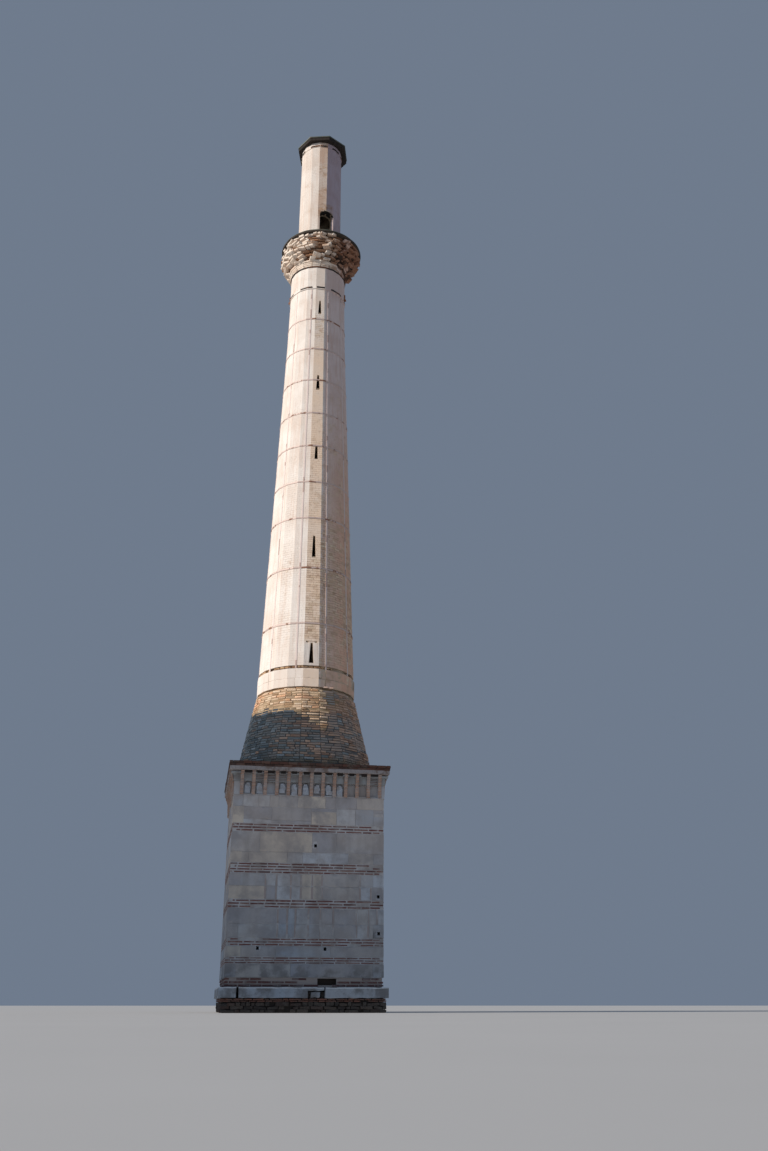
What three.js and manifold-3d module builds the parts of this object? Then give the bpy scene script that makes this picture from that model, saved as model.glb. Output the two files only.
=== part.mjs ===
// A brick and stone minaret, 35.85 m tall, standing alone after its mosque has gone.
// Millimetres, +Z up, origin at the centre of the base on the ground, front face towards -Y.
// A plan angle is measured from the front face's normal towards +X, in degrees.

import * as THREE from 'three';
import { mergeVertices } from 'three/addons/utils/BufferGeometryUtils.js';
import Module from 'manifold-3d';

const wasm = await Module();
wasm.setup();

// Driving dimensions

const GAP = 0.3;                    // between pieces that touch
const WELL_RADIUS = 750;            // the round stairwell, from the base to the balcony
const DRUM_WELL_RADIUS = 550;       // the same well in the upper drum
const SHAFT_SIDES = 20;
const DRUM_SIDES = 16;
const CAP_SIDES = 8;

const FOOTING = { half: 2500, top: 406 };
const PLINTH = { half: 2570, top: 716, depth: 500, blockGap: 12 };
const BASE = { half: 2425, top: 6421 };
const BAND_RECESS = 14;             // the brick bands lie this far behind the ashlar
const BRICK_BANDS = [[716, 986], [1337, 1531], [1887, 2078], [2998, 3205], [4017, 4300], [5336, 5518]];

const FRIEZE = {
  top: 7133, archTop: 6857, nicheBottom: 6450, face: 2432, upperFace: 2452, nicheDepth: 95,
  ribs: 13, pitch: 372, shift: 45, ribWidth: 94, ribFoot: 2462, ribMiddle: 2482, ribTop: 2548, headBottom: 7088,
};
const CORNICE = { half: 2598, top: 7313 };
const TILES = { half: 2625, top: 7477 };

const TRANSITION = { half: 2330, cornerRadius: 2520, top: 10303, levels: 5, hollowing: 0.96 };
const FOOT_RING = { radius: 1747, top: 10955 };

const SHAFT = { foot: 1715, bendHeight: 25220, bend: 1188, top: 27450, head: 1132, frontJoint: 13400, liftJoint: 18800 };
const HOOP_HEIGHTS = [12642, 14795, 16825, 18355, 19935, 21420, 22955, 24458, 25930];
const HOOP = { height: 58, thickness: 18 };
const STRAP = { width: 60, thickness: 9, count: 10, standOff: 0.5 };

const COLLAR = { string: 1165, stringTop: 27550, radius: 1135, moulding: 1165, mouldingBottom: 28530, top: 28583 };
// The balcony's masonry leans out to the right as it rises, and the slab follows it: shift is towards +X
const CORBELS = [
  { name: 'lowest', top: 28870, inner: 1180, outer: 1280, shift: -25 },
  { name: 'second', top: 29180, inner: 1370, outer: 1490, shift: 15 },
  { name: 'third', top: 29560, inner: 1510, outer: 1620, shift: 60 },
  { name: 'top', top: 29970, inner: 1560, outer: 1660, shift: 100 },
];
const SLAB = { radius: 1705, top: 30075, sides: 60, shift: 110 };

const DRUM = { foot: 915, head: 880, top: 35590, hoopBottom: 35360, hoopTop: 35430, hoop: 20 };
const DOOR = { angle: 13.5, width: 600, spring: 31580, apex: 31770 };
const CAP = { radius: 1140, deckRadius: 1115, deckTop: 35785, top: 35850, facing: -13.6, shift: 40 };

// Light slits on the front facet: bottom, top, width at the bottom and at the top
const SLITS = [
  { bottom: 11165, top: 11900, foot: 160, head: 70 },
  { bottom: 15255, top: 16085, foot: 135, head: 80 },
  { bottom: 19365, top: 19935, foot: 125, head: 90 },
  { bottom: 22570, top: 23190, foot: 140, head: 75 },
  { bottom: 26255, top: 26860, foot: 120, head: 65 },
];

// Scaffold holes left in the front wall: place across the front, height, size
const PUTLOG = { width: 85, height: 95, depth: 340 };
const PUTLOG_PLACES = [[227, 4875], [2243, 3358], [2261, 2262], [-1464, 1810], [596, 1800]];
const ERODED_HOLE = { left: 389, right: 969, bottom: 770, top: 960, depth: 210 };

const FRONT_BLOCKS = {
  plinth_front_left_block: [-PLINTH.half, -1990],
  plinth_front_long_block: [-1990, 105],
  plinth_front_right_block: [600, PLINTH.half],
};
const PATCH_BLOCK = { left: 175, right: 530, setBack: 60 };
const LEDGE = { right: 594, bottom: 610 };    // what is left of the long block above the patch

// Angles of the four sides of the tower
const SIDES = { front: 0, right: 90, back: 180, left: 270 };

// Materials

const paint = (color, roughness, metalness = 0) => new THREE.MeshStandardMaterial({ color, roughness, metalness });
const ASHLAR = paint(0xb9b2a8, 0.85);
const LIME_WASH = paint(0xe6d9ca, 0.88);
const RUBBLE = paint(0x8a7a6b, 0.95);
const ROUGH_BRICK = paint(0x8d7355, 0.95);
const CORBEL_BRICK = paint(0xb59a83, 0.95);
const RED_TILE = paint(0x6e3f33, 0.9);
const RUSTED_IRON = paint(0xa08a86, 0.7, 0.5);
const DARK_SLAB = paint(0x5f5f55, 0.85);
const BOARDS = paint(0x4a3a30, 0.85);
const SHEET_METAL = paint(0x78847c, 0.55, 0.4);

// Solids

const radians = (degrees) => degrees * Math.PI / 180;

// Merges a closed geometry's shared corners and drops the slivers left at its poles
function solid(geometry) {
  geometry.deleteAttribute('normal');
  geometry.deleteAttribute('uv');
  const merged = mergeVertices(geometry, 0.005);
  const corners = merged.index.array;
  const kept = [];
  for (let i = 0; i < corners.length; i += 3) {
    const [a, b, c] = [corners[i], corners[i + 1], corners[i + 2]];
    if (a !== b && b !== c && c !== a) kept.push(a, b, c);
  }
  return new wasm.Manifold(new wasm.Mesh({
    numProp: 3,
    vertProperties: new Float32Array(merged.attributes.position.array),
    triVerts: new Uint32Array(kept),
  }));
}

// A solid turned about the tower's axis with flat sides; the profile runs up from axis to axis
function turned(profile, sides, arris) {
  const points = profile.map(([radius, height]) => new THREE.Vector2(radius, height));
  const geometry = new THREE.LatheGeometry(points, sides, radians(arris), 2 * Math.PI);
  geometry.rotateX(Math.PI / 2);
  return solid(geometry);
}

// A straight-sided prism about the axis
function prism(radius, bottom, top, sides, arris) {
  return turned([[0, bottom], [radius, bottom], [radius, top], [0, top]], sides, arris);
}

// A square block about the axis, from its half width
function square(half, bottom, top) {
  return prism(half * Math.SQRT2, bottom, top, 4, 45);
}

// A closed ring whose profile comes back to its first point
function ring(profile, sides, arris) {
  return turned([...profile, profile[0]], sides, arris);
}

function box(x0, x1, y0, y1, z0, z1) {
  const geometry = new THREE.BoxGeometry(x1 - x0, y1 - y0, z1 - z0);
  geometry.translate((x0 + x1) / 2, (y0 + y1) / 2, (z0 + z1) / 2);
  return solid(geometry);
}

// An outline in (across, up), pushed back from the front to a given depth
function frontPrism(outline, near, far) {
  const shape = new THREE.Shape(outline.map(([x, z]) => new THREE.Vector2(x, z)));
  const geometry = new THREE.ExtrudeGeometry(shape, { depth: near - far, bevelEnabled: false });
  geometry.rotateX(Math.PI / 2);
  geometry.translate(0, -far, 0);
  return solid(geometry);
}

// An outline in (outward, up), given a width across, standing out from the front
function radialPlate(outline, width) {
  const shape = new THREE.Shape(outline.map(([out, up]) => new THREE.Vector2(out, up)));
  const geometry = new THREE.ExtrudeGeometry(shape, { depth: width, bevelEnabled: false });
  geometry.translate(0, 0, -width / 2);
  geometry.rotateX(Math.PI / 2);
  geometry.rotateZ(-Math.PI / 2);
  return solid(geometry);
}

const turnedBy = (piece, angle) => piece.rotate([0, 0, angle]);

// The wedge between two plan angles less than half a turn apart, drawn in by half a gap on each side
function wedge(from, to, bottom, top) {
  const reach = 9000;
  const middle = radians((from + to) / 2);
  const half = radians((to - from) / 2);
  const apex = GAP / 2 / Math.sin(half);
  const corners = [[apex, 0], [apex + reach * Math.cos(half), -reach * Math.sin(half)],
    [apex + reach * Math.cos(half), reach * Math.sin(half)]];
  const place = ([out, across]) => new THREE.Vector2(
    out * Math.sin(middle) + across * Math.cos(middle),
    -out * Math.cos(middle) + across * Math.sin(middle));
  const shape = new THREE.Shape(corners.map(place));
  const geometry = new THREE.ExtrudeGeometry(shape, { depth: top - bottom, bevelEnabled: false });
  geometry.translate(0, 0, bottom);
  return solid(geometry);
}

const quarter = (piece, angle) => piece.intersect(wedge(angle - 45, angle + 45, -100, 40000));

// The round stairwell, long enough to pass through any piece of the tower
const SHAFT_ARRIS = 360 / SHAFT_SIDES / 2;
const DRUM_ARRIS = 360 / DRUM_SIDES / 2;
const stairwell = prism(WELL_RADIUS, -500, 40000, SHAFT_SIDES, SHAFT_ARRIS);
const drumWell = prism(DRUM_WELL_RADIUS, -500, 40000, DRUM_SIDES, DRUM_ARRIS);

// Pieces

const group = new THREE.Group();

function add(name, piece, material) {
  const mesh = piece.getMesh();
  const geometry = new THREE.BufferGeometry();
  geometry.setAttribute('position', new THREE.BufferAttribute(mesh.vertProperties, 3));
  geometry.setIndex(new THREE.BufferAttribute(mesh.triVerts, 1));
  geometry.computeVertexNormals();
  const item = new THREE.Mesh(geometry, material);
  item.name = name;
  group.add(item);
}

// Footing: a rubble course, with the core of the plinth standing on it as the floor of the stairwell
function makeFooting() {
  const core = square(PLINTH.half - PLINTH.depth - GAP, FOOTING.top - 1, PLINTH.top - GAP);
  add('footing', square(FOOTING.half, 0, FOOTING.top).add(core), RUBBLE);
}

// Plinth: marble slabs round the core; the long front block has lost the foot of its end, which is patched
function makePlinth() {
  const bottom = FOOTING.top + GAP;
  const top = PLINTH.top - GAP;
  const inner = PLINTH.half - PLINTH.depth;
  for (const [name, [left, right]] of Object.entries(FRONT_BLOCKS)) {
    const x0 = left + PLINTH.blockGap / 2 * (left > -PLINTH.half);
    const x1 = right - PLINTH.blockGap / 2 * (right < PLINTH.half);
    let block = box(x0, x1, -PLINTH.half, -inner, bottom, top);
    if (name === 'plinth_front_long_block') {
      block = block.add(box(x1 - 1, LEDGE.right, -PLINTH.half, -inner, LEDGE.bottom, top));
    }
    add(name, block, ASHLAR);
  }
  const patchFace = PLINTH.half - PATCH_BLOCK.setBack;
  const patch = box(PATCH_BLOCK.left, PATCH_BLOCK.right, -patchFace, -inner, bottom, LEDGE.bottom - GAP);
  add('plinth_front_patch_block', patch, RUBBLE);
  const long = PLINTH.half;
  const short = inner - GAP;
  add('plinth_right_side', box(inner, PLINTH.half, -short, short, bottom, top), ASHLAR);
  add('plinth_left_side', box(-PLINTH.half, -inner, -short, short, bottom, top), ASHLAR);
  add('plinth_back_side', box(-long, long, inner, PLINTH.half, bottom, top), ASHLAR);
}

// Base walls: ashlar with recessed brick bands, mitred at the corners round the stairwell
function makeBaseWalls() {
  const bottom = PLINTH.top;
  const top = BASE.top - GAP;
  const face = BASE.half * Math.SQRT2;
  const recessed = (BASE.half - BAND_RECESS) * Math.SQRT2;
  const profile = [[0, bottom]];
  for (const [low, high] of BRICK_BANDS) {
    if (low > bottom) profile.push([face, low]);
    profile.push([recessed, low], [recessed, high], [face, high]);
  }
  profile.push([face, top], [0, top]);
  let walls = turned(profile, 4, 45).subtract(stairwell);
  for (const [x, z] of PUTLOG_PLACES) {
    const hole = box(x - PUTLOG.width / 2, x + PUTLOG.width / 2, -BASE.half - 10, -BASE.half + PUTLOG.depth,
      z - PUTLOG.height / 2, z + PUTLOG.height / 2);
    walls = walls.subtract(hole);
  }
  const { left, right, bottom: low, top: high, depth } = ERODED_HOLE;
  walls = walls.subtract(box(left, right, -BASE.half - 10, -BASE.half + depth, low, high));
  for (const [side, angle] of Object.entries(SIDES)) add(`${side}_wall`, quarter(walls, angle), ASHLAR);
}

// One side's row of arched niches, ready to be cut out of the frieze
function niches() {
  const width = FRIEZE.pitch - FRIEZE.ribWidth - 30;
  const radius = width / 2;
  const spring = FRIEZE.archTop - radius;
  const steps = 6;
  const row = [];
  for (let bay = 0; bay < FRIEZE.ribs - 1; bay++) {
    const middle = (bay - (FRIEZE.ribs - 2) / 2) * FRIEZE.pitch + FRIEZE.shift;
    const outline = [[middle - radius, FRIEZE.nicheBottom], [middle + radius, FRIEZE.nicheBottom]];
    for (let step = 0; step <= steps; step++) {
      const turn = Math.PI * step / steps;
      outline.push([middle + radius * Math.cos(turn), spring + radius * Math.sin(turn)]);
    }
    row.push(frontPrism(outline, FRIEZE.face + 50, FRIEZE.face - FRIEZE.nicheDepth));
  }
  return row;
}

// Frieze: brick ribs that lean out over arched niches, under a projecting head course
function makeFrieze() {
  const bottom = BASE.top;
  const top = FRIEZE.top - GAP;
  const back = FRIEZE.face - 200;
  const ribProfile = [[back, bottom], [FRIEZE.ribFoot, bottom], [FRIEZE.ribMiddle, FRIEZE.archTop],
    [FRIEZE.ribTop, FRIEZE.headBottom], [FRIEZE.ribTop, top], [back, top]];
  let side = square(FRIEZE.face, bottom, FRIEZE.archTop)
    .add(square(FRIEZE.upperFace, FRIEZE.archTop - 1, FRIEZE.headBottom))
    .add(square(FRIEZE.ribTop, FRIEZE.headBottom - 1, top));
  for (const niche of niches()) side = side.subtract(niche);
  for (let rib = 0; rib < FRIEZE.ribs; rib++) {
    const x = (rib - (FRIEZE.ribs - 1) / 2) * FRIEZE.pitch + FRIEZE.shift;
    side = side.add(radialPlate(ribProfile, FRIEZE.ribWidth).translate([x, 0, 0]));
  }
  side = quarter(side.subtract(stairwell), 0);
  for (const [name, angle] of Object.entries(SIDES)) add(`${name}_frieze`, turnedBy(side, angle), ROUGH_BRICK);
}

// Cornice: a pale band under a course of red tiles, both over the whole base
function makeCornice() {
  add('cornice_band', square(CORNICE.half, FRIEZE.top, CORNICE.top - GAP).subtract(stairwell), LIME_WASH);
  add('tile_course', square(TILES.half, CORNICE.top, TILES.top - GAP).subtract(stairwell), RED_TILE);
}

// Transition: rough brick that narrows from a square with cut corners to the shaft's polygon
function makeTransition() {
  const bottom = TILES.top;
  const top = TRANSITION.top - GAP;
  const geometry = new THREE.CylinderGeometry(1, 1, top - bottom, SHAFT_SIDES, TRANSITION.levels, false,
    radians(SHAFT_ARRIS));
  geometry.rotateX(Math.PI / 2);
  geometry.translate(0, 0, (bottom + top) / 2);
  const place = geometry.attributes.position;
  for (let i = 0; i < place.count; i++) {
    const [x, y, z] = [place.getX(i), place.getY(i), place.getZ(i)];
    const length = Math.hypot(x, y);
    if (length < 0.5) continue;
    const squareRadius = TRANSITION.half * length / Math.max(Math.abs(x), Math.abs(y));
    const footRadius = Math.min(squareRadius, TRANSITION.cornerRadius);
    const rise = 1 - Math.max(0, (top - z) / (top - bottom)) ** TRANSITION.hollowing;
    const radius = footRadius + (FOOT_RING.radius - footRadius) * rise;
    place.setXY(i, x / length * radius, y / length * radius);
  }
  const body = solid(geometry).subtract(stairwell);
  for (const [side, angle] of Object.entries(SIDES)) add(`${side}_transition`, quarter(body, angle), ROUGH_BRICK);
}

function makeFootRing() {
  const ringBody = prism(FOOT_RING.radius, TRANSITION.top, FOOT_RING.top - GAP, SHAFT_SIDES, SHAFT_ARRIS);
  add('foot_ring', ringBody.subtract(stairwell), LIME_WASH);
}

// The shaft's outer radius at a height, to an arris
function shaftRadius(z) {
  const lower = z < SHAFT.bendHeight;
  const [z0, r0] = lower ? [FOOT_RING.top, SHAFT.foot] : [SHAFT.bendHeight, SHAFT.bend];
  const [z1, r1] = lower ? [SHAFT.bendHeight, SHAFT.bend] : [SHAFT.top, SHAFT.head];
  return r0 + (r1 - r0) * (z - z0) / (z1 - z0);
}

// Shaft: two lifts of four segments each, the lower front one in two, with light slits through the front facet
function makeShaft() {
  const whole = turned([
    [0, FOOT_RING.top], [SHAFT.foot, FOOT_RING.top], [SHAFT.bend, SHAFT.bendHeight],
    [SHAFT.head, SHAFT.top - GAP], [0, SHAFT.top - GAP],
  ], SHAFT_SIDES, SHAFT_ARRIS);
  let body = whole.subtract(stairwell);
  for (const { bottom, top, foot, head } of SLITS) {
    const outline = [[-foot / 2, bottom], [foot / 2, bottom], [head / 2, top - head / 2], [0, top], [-head / 2, top - head / 2]];
    body = body.subtract(frontPrism(outline, SHAFT.foot + 50, WELL_RADIUS - 100));
  }
  const segments = { middle_shaft_front: ['front', SHAFT.frontJoint, SHAFT.liftJoint - GAP] };
  for (const side of Object.keys(SIDES)) {
    const lowerTop = side === 'front' ? SHAFT.frontJoint : SHAFT.liftJoint;
    segments[`lower_shaft_${side}`] = [side, FOOT_RING.top, lowerTop - GAP];
    segments[`upper_shaft_${side}`] = [side, SHAFT.liftJoint, SHAFT.top];
  }
  for (const [name, [side, low, high]] of Object.entries(segments)) {
    const angle = SIDES[side];
    add(name, body.intersect(wedge(angle - 45, angle + 45, low, high)), LIME_WASH);
  }
}

// Iron straps down the facets, riveted to the hoops that cross them
function makeIronwork() {
  const toFacet = Math.cos(radians(SHAFT_ARRIS));
  const heights = [FOOT_RING.top + 2, SHAFT.bendHeight, SHAFT.top - 2];
  const inner = heights.map((z) => [shaftRadius(z) * toFacet + STRAP.standOff, z]);
  const outer = heights.map((z) => [shaftRadius(z) * toFacet + STRAP.standOff + STRAP.thickness, z]);
  const strap = radialPlate([...outer, ...inner.reverse()], STRAP.width);
  let cage = null;
  for (const z of HOOP_HEIGHTS) {
    const [low, high] = [z - HOOP.height / 2, z + HOOP.height / 2];
    const [near, far] = [STRAP.standOff / toFacet, (STRAP.standOff + HOOP.thickness) / toFacet];
    const hoop = ring([[shaftRadius(low) + near, low], [shaftRadius(low) + far, low],
      [shaftRadius(high) + far, high], [shaftRadius(high) + near, high]], SHAFT_SIDES, SHAFT_ARRIS);
    cage = cage ? cage.add(hoop) : hoop;
  }
  for (let i = 0; i < STRAP.count; i++) cage = cage.add(turnedBy(strap, (i + 0.5) * 360 / STRAP.count));
  add('iron_straps_and_hoops', cage, RUSTED_IRON);
}

// Collar: a short drum between a string course and the moulding under the corbels
function makeCollar() {
  const bottom = SHAFT.top;
  const body = turned([
    [0, bottom], [COLLAR.string, bottom], [COLLAR.string, COLLAR.stringTop], [COLLAR.radius, COLLAR.stringTop],
    [COLLAR.radius, COLLAR.mouldingBottom - 30], [COLLAR.moulding, COLLAR.mouldingBottom],
    [COLLAR.moulding, COLLAR.top - GAP], [0, COLLAR.top - GAP],
  ], SHAFT_SIDES, SHAFT_ARRIS);
  add('collar', body.subtract(stairwell), LIME_WASH);
}

// Balcony corbels: tiers of small brackets, each row set half a bracket round from the one below
function makeCorbels() {
  let bottom = COLLAR.top;
  CORBELS.forEach(({ name, top, inner, outer, shift }, tier) => {
    const outline = [];
    for (let tooth = 0; tooth < SHAFT_SIDES; tooth++) {
      const middle = 360 / SHAFT_SIDES * (tooth + 0.5 * (tier % 2));
      for (const [turn, radius] of [[-7, inner], [-4.5, outer], [4.5, outer], [7, inner]]) {
        const angle = radians(middle + turn);
        outline.push(new THREE.Vector2(radius * Math.sin(angle), -radius * Math.cos(angle)));
      }
    }
    const height = top - GAP - bottom;
    const geometry = new THREE.ExtrudeGeometry(new THREE.Shape(outline), { depth: height, bevelEnabled: false });
    geometry.translate(shift, 0, bottom);
    add(`${name}_corbel_tier`, solid(geometry).subtract(stairwell), CORBEL_BRICK);
    bottom = top;
  });
}

function makeBalconySlab() {
  const [bottom, top] = [CORBELS.at(-1).top, SLAB.top - GAP];
  const slab = prism(SLAB.radius, bottom, top, SLAB.sides, 0).translate([SLAB.shift, 0, 0]);
  add('balcony_slab', slab.subtract(drumWell), DARK_SLAB);
}

// Upper drum: four segments, the front one split beside and over the balcony door
function makeDrum() {
  const bottom = SLAB.top;
  const top = DRUM.top - GAP;
  const lean = (z) => DRUM.foot + (DRUM.head - DRUM.foot) * (z - bottom) / (top - bottom);
  const body = turned([
    [0, bottom], [DRUM.foot, bottom], [lean(DRUM.hoopBottom), DRUM.hoopBottom],
    [lean(DRUM.hoopBottom) + DRUM.hoop, DRUM.hoopBottom], [lean(DRUM.hoopBottom) + DRUM.hoop, DRUM.hoopTop],
    [lean(DRUM.hoopTop), DRUM.hoopTop], [DRUM.head, top], [0, top],
  ], DRUM_SIDES, DRUM_ARRIS).subtract(drumWell);
  const half = DOOR.width / 2;
  const doorway = [[-half, bottom - 50], [half, bottom - 50], [half, DOOR.spring], [half * 0.78, DOOR.spring + 110],
    [half * 0.4, DOOR.spring + 165], [0, DOOR.apex], [-half * 0.4, DOOR.spring + 165],
    [-half * 0.78, DOOR.spring + 110], [-half, DOOR.spring]];
  const opened = body.subtract(turnedBy(frontPrism(doorway, DRUM.foot + 50, DRUM_WELL_RADIUS - 150), DOOR.angle));
  const [from, to] = [DOOR.angle - 45, DOOR.angle + 45];
  const jambTop = DOOR.spring - GAP;
  add('drum_door_left_jamb', opened.intersect(wedge(from, DOOR.angle, bottom, jambTop)), LIME_WASH);
  add('drum_door_right_jamb', opened.intersect(wedge(DOOR.angle, to, bottom, jambTop)), LIME_WASH);
  add('drum_front_over_door', opened.intersect(wedge(from, to, DOOR.spring, top + 1)), LIME_WASH);
  for (const side of ['right', 'back', 'left']) {
    add(`drum_${side}`, quarter(body, SIDES[side] + DOOR.angle), LIME_WASH);
  }
}

// Cap: an eight-sided deck of boards under thin sheet metal
function makeCap() {
  const arris = CAP.facing + 360 / CAP_SIDES / 2;
  const deck = prism(CAP.deckRadius, DRUM.top, CAP.deckTop - GAP, CAP_SIDES, arris);
  const roof = prism(CAP.radius, CAP.deckTop, CAP.top, CAP_SIDES, arris);
  add('cap_board_deck', deck.translate([CAP.shift, 0, 0]), BOARDS);
  add('cap_metal_roof', roof.translate([CAP.shift, 0, 0]), SHEET_METAL);
}

makeFooting();
makePlinth();
makeBaseWalls();
makeFrieze();
makeCornice();
makeTransition();
makeFootRing();
makeShaft();
makeIronwork();
makeCollar();
makeCorbels();
makeBalconySlab();
makeDrum();
makeCap();

export default group;
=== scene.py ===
import math
from itertools import pairwise, product

import bmesh
import bpy
import numpy as np
from mathutils import Matrix, Vector


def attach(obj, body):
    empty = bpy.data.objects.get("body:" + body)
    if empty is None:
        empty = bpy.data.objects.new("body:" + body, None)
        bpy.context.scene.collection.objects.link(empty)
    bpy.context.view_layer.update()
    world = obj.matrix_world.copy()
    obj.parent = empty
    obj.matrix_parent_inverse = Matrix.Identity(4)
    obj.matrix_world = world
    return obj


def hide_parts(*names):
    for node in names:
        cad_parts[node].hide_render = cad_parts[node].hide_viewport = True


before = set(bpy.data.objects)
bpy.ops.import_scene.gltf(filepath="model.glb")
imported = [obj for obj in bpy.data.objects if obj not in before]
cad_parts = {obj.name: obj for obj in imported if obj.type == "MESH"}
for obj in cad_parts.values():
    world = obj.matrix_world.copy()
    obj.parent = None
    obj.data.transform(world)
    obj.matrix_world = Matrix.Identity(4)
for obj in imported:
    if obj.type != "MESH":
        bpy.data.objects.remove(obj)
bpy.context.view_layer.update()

rng = np.random.default_rng(1887)
scene = bpy.context.scene

# The pieces that the key light falls on. It is flagged off the base, which the photograph shows in shade.
key_lit = bpy.data.collections.new("lit_by_the_key_light")
SHADE_TOP = 9.35

# Driving dimensions, in metres, in the frame of the solids: front towards -Y, +Z up

SIDES = {"front": 0, "right": 90, "back": 180, "left": 270}

FOOTING_HALF = 2.50
FOOTING_TOP = 0.406
PLINTH_HALF = 2.57
PLINTH_TOP = 0.716
PLINTH_DEPTH = 0.50
BASE_HALF = 2.425
BASE_TOP = 6.421
FRIEZE_TOP = 7.133
CORNICE_HALF = 2.598
TILES_HALF = 2.625
TILES_TOP = 7.477

TRANSITION_HALF = 2.33
TRANSITION_CORNER = 2.52
TRANSITION_TOP = 10.303
TRANSITION_HOLLOWING = 0.96
FOOT_RING_RADIUS = 1.747
FOOT_RING_JOINT = 10.603
FOOT_RING_TOP = 10.955

SHAFT_SIDES = 20
FACET = 360 / SHAFT_SIDES    # the plan angle that one flat side takes, in degrees
SHAFT_FLAT = math.cos(math.radians(FACET / 2))    # a flat side's reach over an arris's
SHAFT_LIFT = 18.8
SHAFT_TOP = 27.45
SHAFT_PROFILE = [(FOOT_RING_TOP, 1.715), (25.22, 1.188), (SHAFT_TOP, 1.132)]
HOOP_HEIGHTS = [12.642, 14.795, 16.825, 18.355, 19.935, 21.420, 22.955, 24.458, 25.930]
STRAP_COUNT = 10
COLLAR_RADIUS = 1.135
STRING_RADIUS = 1.165
STRING_TOP = 27.55
COLLAR_TOP = 28.583
SLAB_BOTTOM = 29.97
SLAB_TOP = 30.075
SLAB_RADIUS = 1.705
SLAB_SHIFT = 0.11     # the slab sits this far to the right of the tower's axis
DRUM_SIDES = 16
DRUM_TOP = 35.59
DRUM_PROFILE = [(SLAB_TOP, 0.915), (DRUM_TOP, 0.880)]
DRUM_HOOP = (35.36, 35.43)
DOOR_ANGLE = 13.5
DOOR_WIDTH = 0.60
DOOR_SPRING = 31.58
DOOR_APEX = 31.77
CAP_SIDES = 8
CAP_FACING = -13.6     # the plan angle that one of the cap's sides faces, in degrees
CAP_RADIUS = 1.14
CAP_SHIFT = 0.04
DECK_RADIUS = 1.115
DECK_TOP = 35.785
CAP_TOP = 35.85

# Light slits on the front facet: bottom, top, width at the foot and at the head
SLITS = [
    (11.165, 11.900, 0.160, 0.070),
    (15.255, 16.085, 0.135, 0.080),
    (19.365, 19.935, 0.125, 0.090),
    (22.570, 23.190, 0.140, 0.075),
    (26.255, 26.860, 0.120, 0.065),
]

# Bands of thin bricks in the base: bottom, top, rows
BRICK_BANDS = [
    (0.716, 0.986, 3),
    (1.365, 1.565, 3),
    (1.872, 2.108, 3),
    (2.970, 3.235, 3),
    (4.000, 4.330, 4),
    (5.276, 5.533, 3),
]

# Scaffold holes in the front wall: places across it and up, and a hole's width, depth and height
PUTLOG_PLACES = [(0.227, 4.875), (2.243, 3.358), (2.261, 2.262), (-1.464, 1.81), (0.596, 1.80)]
PUTLOG_SIZE = (0.085, 0.30, 0.095)
ERODED_HOLE = (0.389, 0.969, 0.770, 0.960)    # the hollow over the plinth: left, right, bottom, top

# The camera, solved from the photograph's perspective
PHOTO_HEIGHT = 1151
FOCAL_PIXELS = 1032
CAMERA_PLACE = (-3.45, -35.761, 0.218)
CAMERA_HEADING = 10.0
CAMERA_PITCH = 22.6

UP = np.array([0.0, 0.0, 1.0])


# Smooth noise

def drift(points, size, seed):
    """Smooth noise from -1 to 1 at each point, with features about size metres across."""
    cells = np.asarray(points, float) / size + seed * 7.31
    low = np.floor(cells)
    part = cells - low
    part = part * part * (3 - 2 * part)
    total = np.zeros(cells.shape[:-1])
    for corner in product((0, 1), repeat=3):
        key = (low + corner).astype(np.int64)
        mixed = key[..., 0] * 73856093 ^ key[..., 1] * 19349663 ^ key[..., 2] * 83492791 ^ seed * 97
        mixed = ((mixed ^ (mixed >> 13)) * 1274126177) & 0x7FFFFFFF
        value = ((mixed ^ (mixed >> 16)) & 0xFFFF) / 32767.5 - 1
        total += value * np.prod(np.where(corner, part, 1 - part), axis=-1)
    return total


# Shader groups and materials

def colour(red, green, blue):
    """A colour as a screen shows it, from 0 to 255, made linear."""
    parts = [c / 255 for c in (red, green, blue)]
    return (*[c / 12.92 if c <= 0.04045 else ((c + 0.055) / 1.055) ** 2.4 for c in parts], 1.0)


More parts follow.
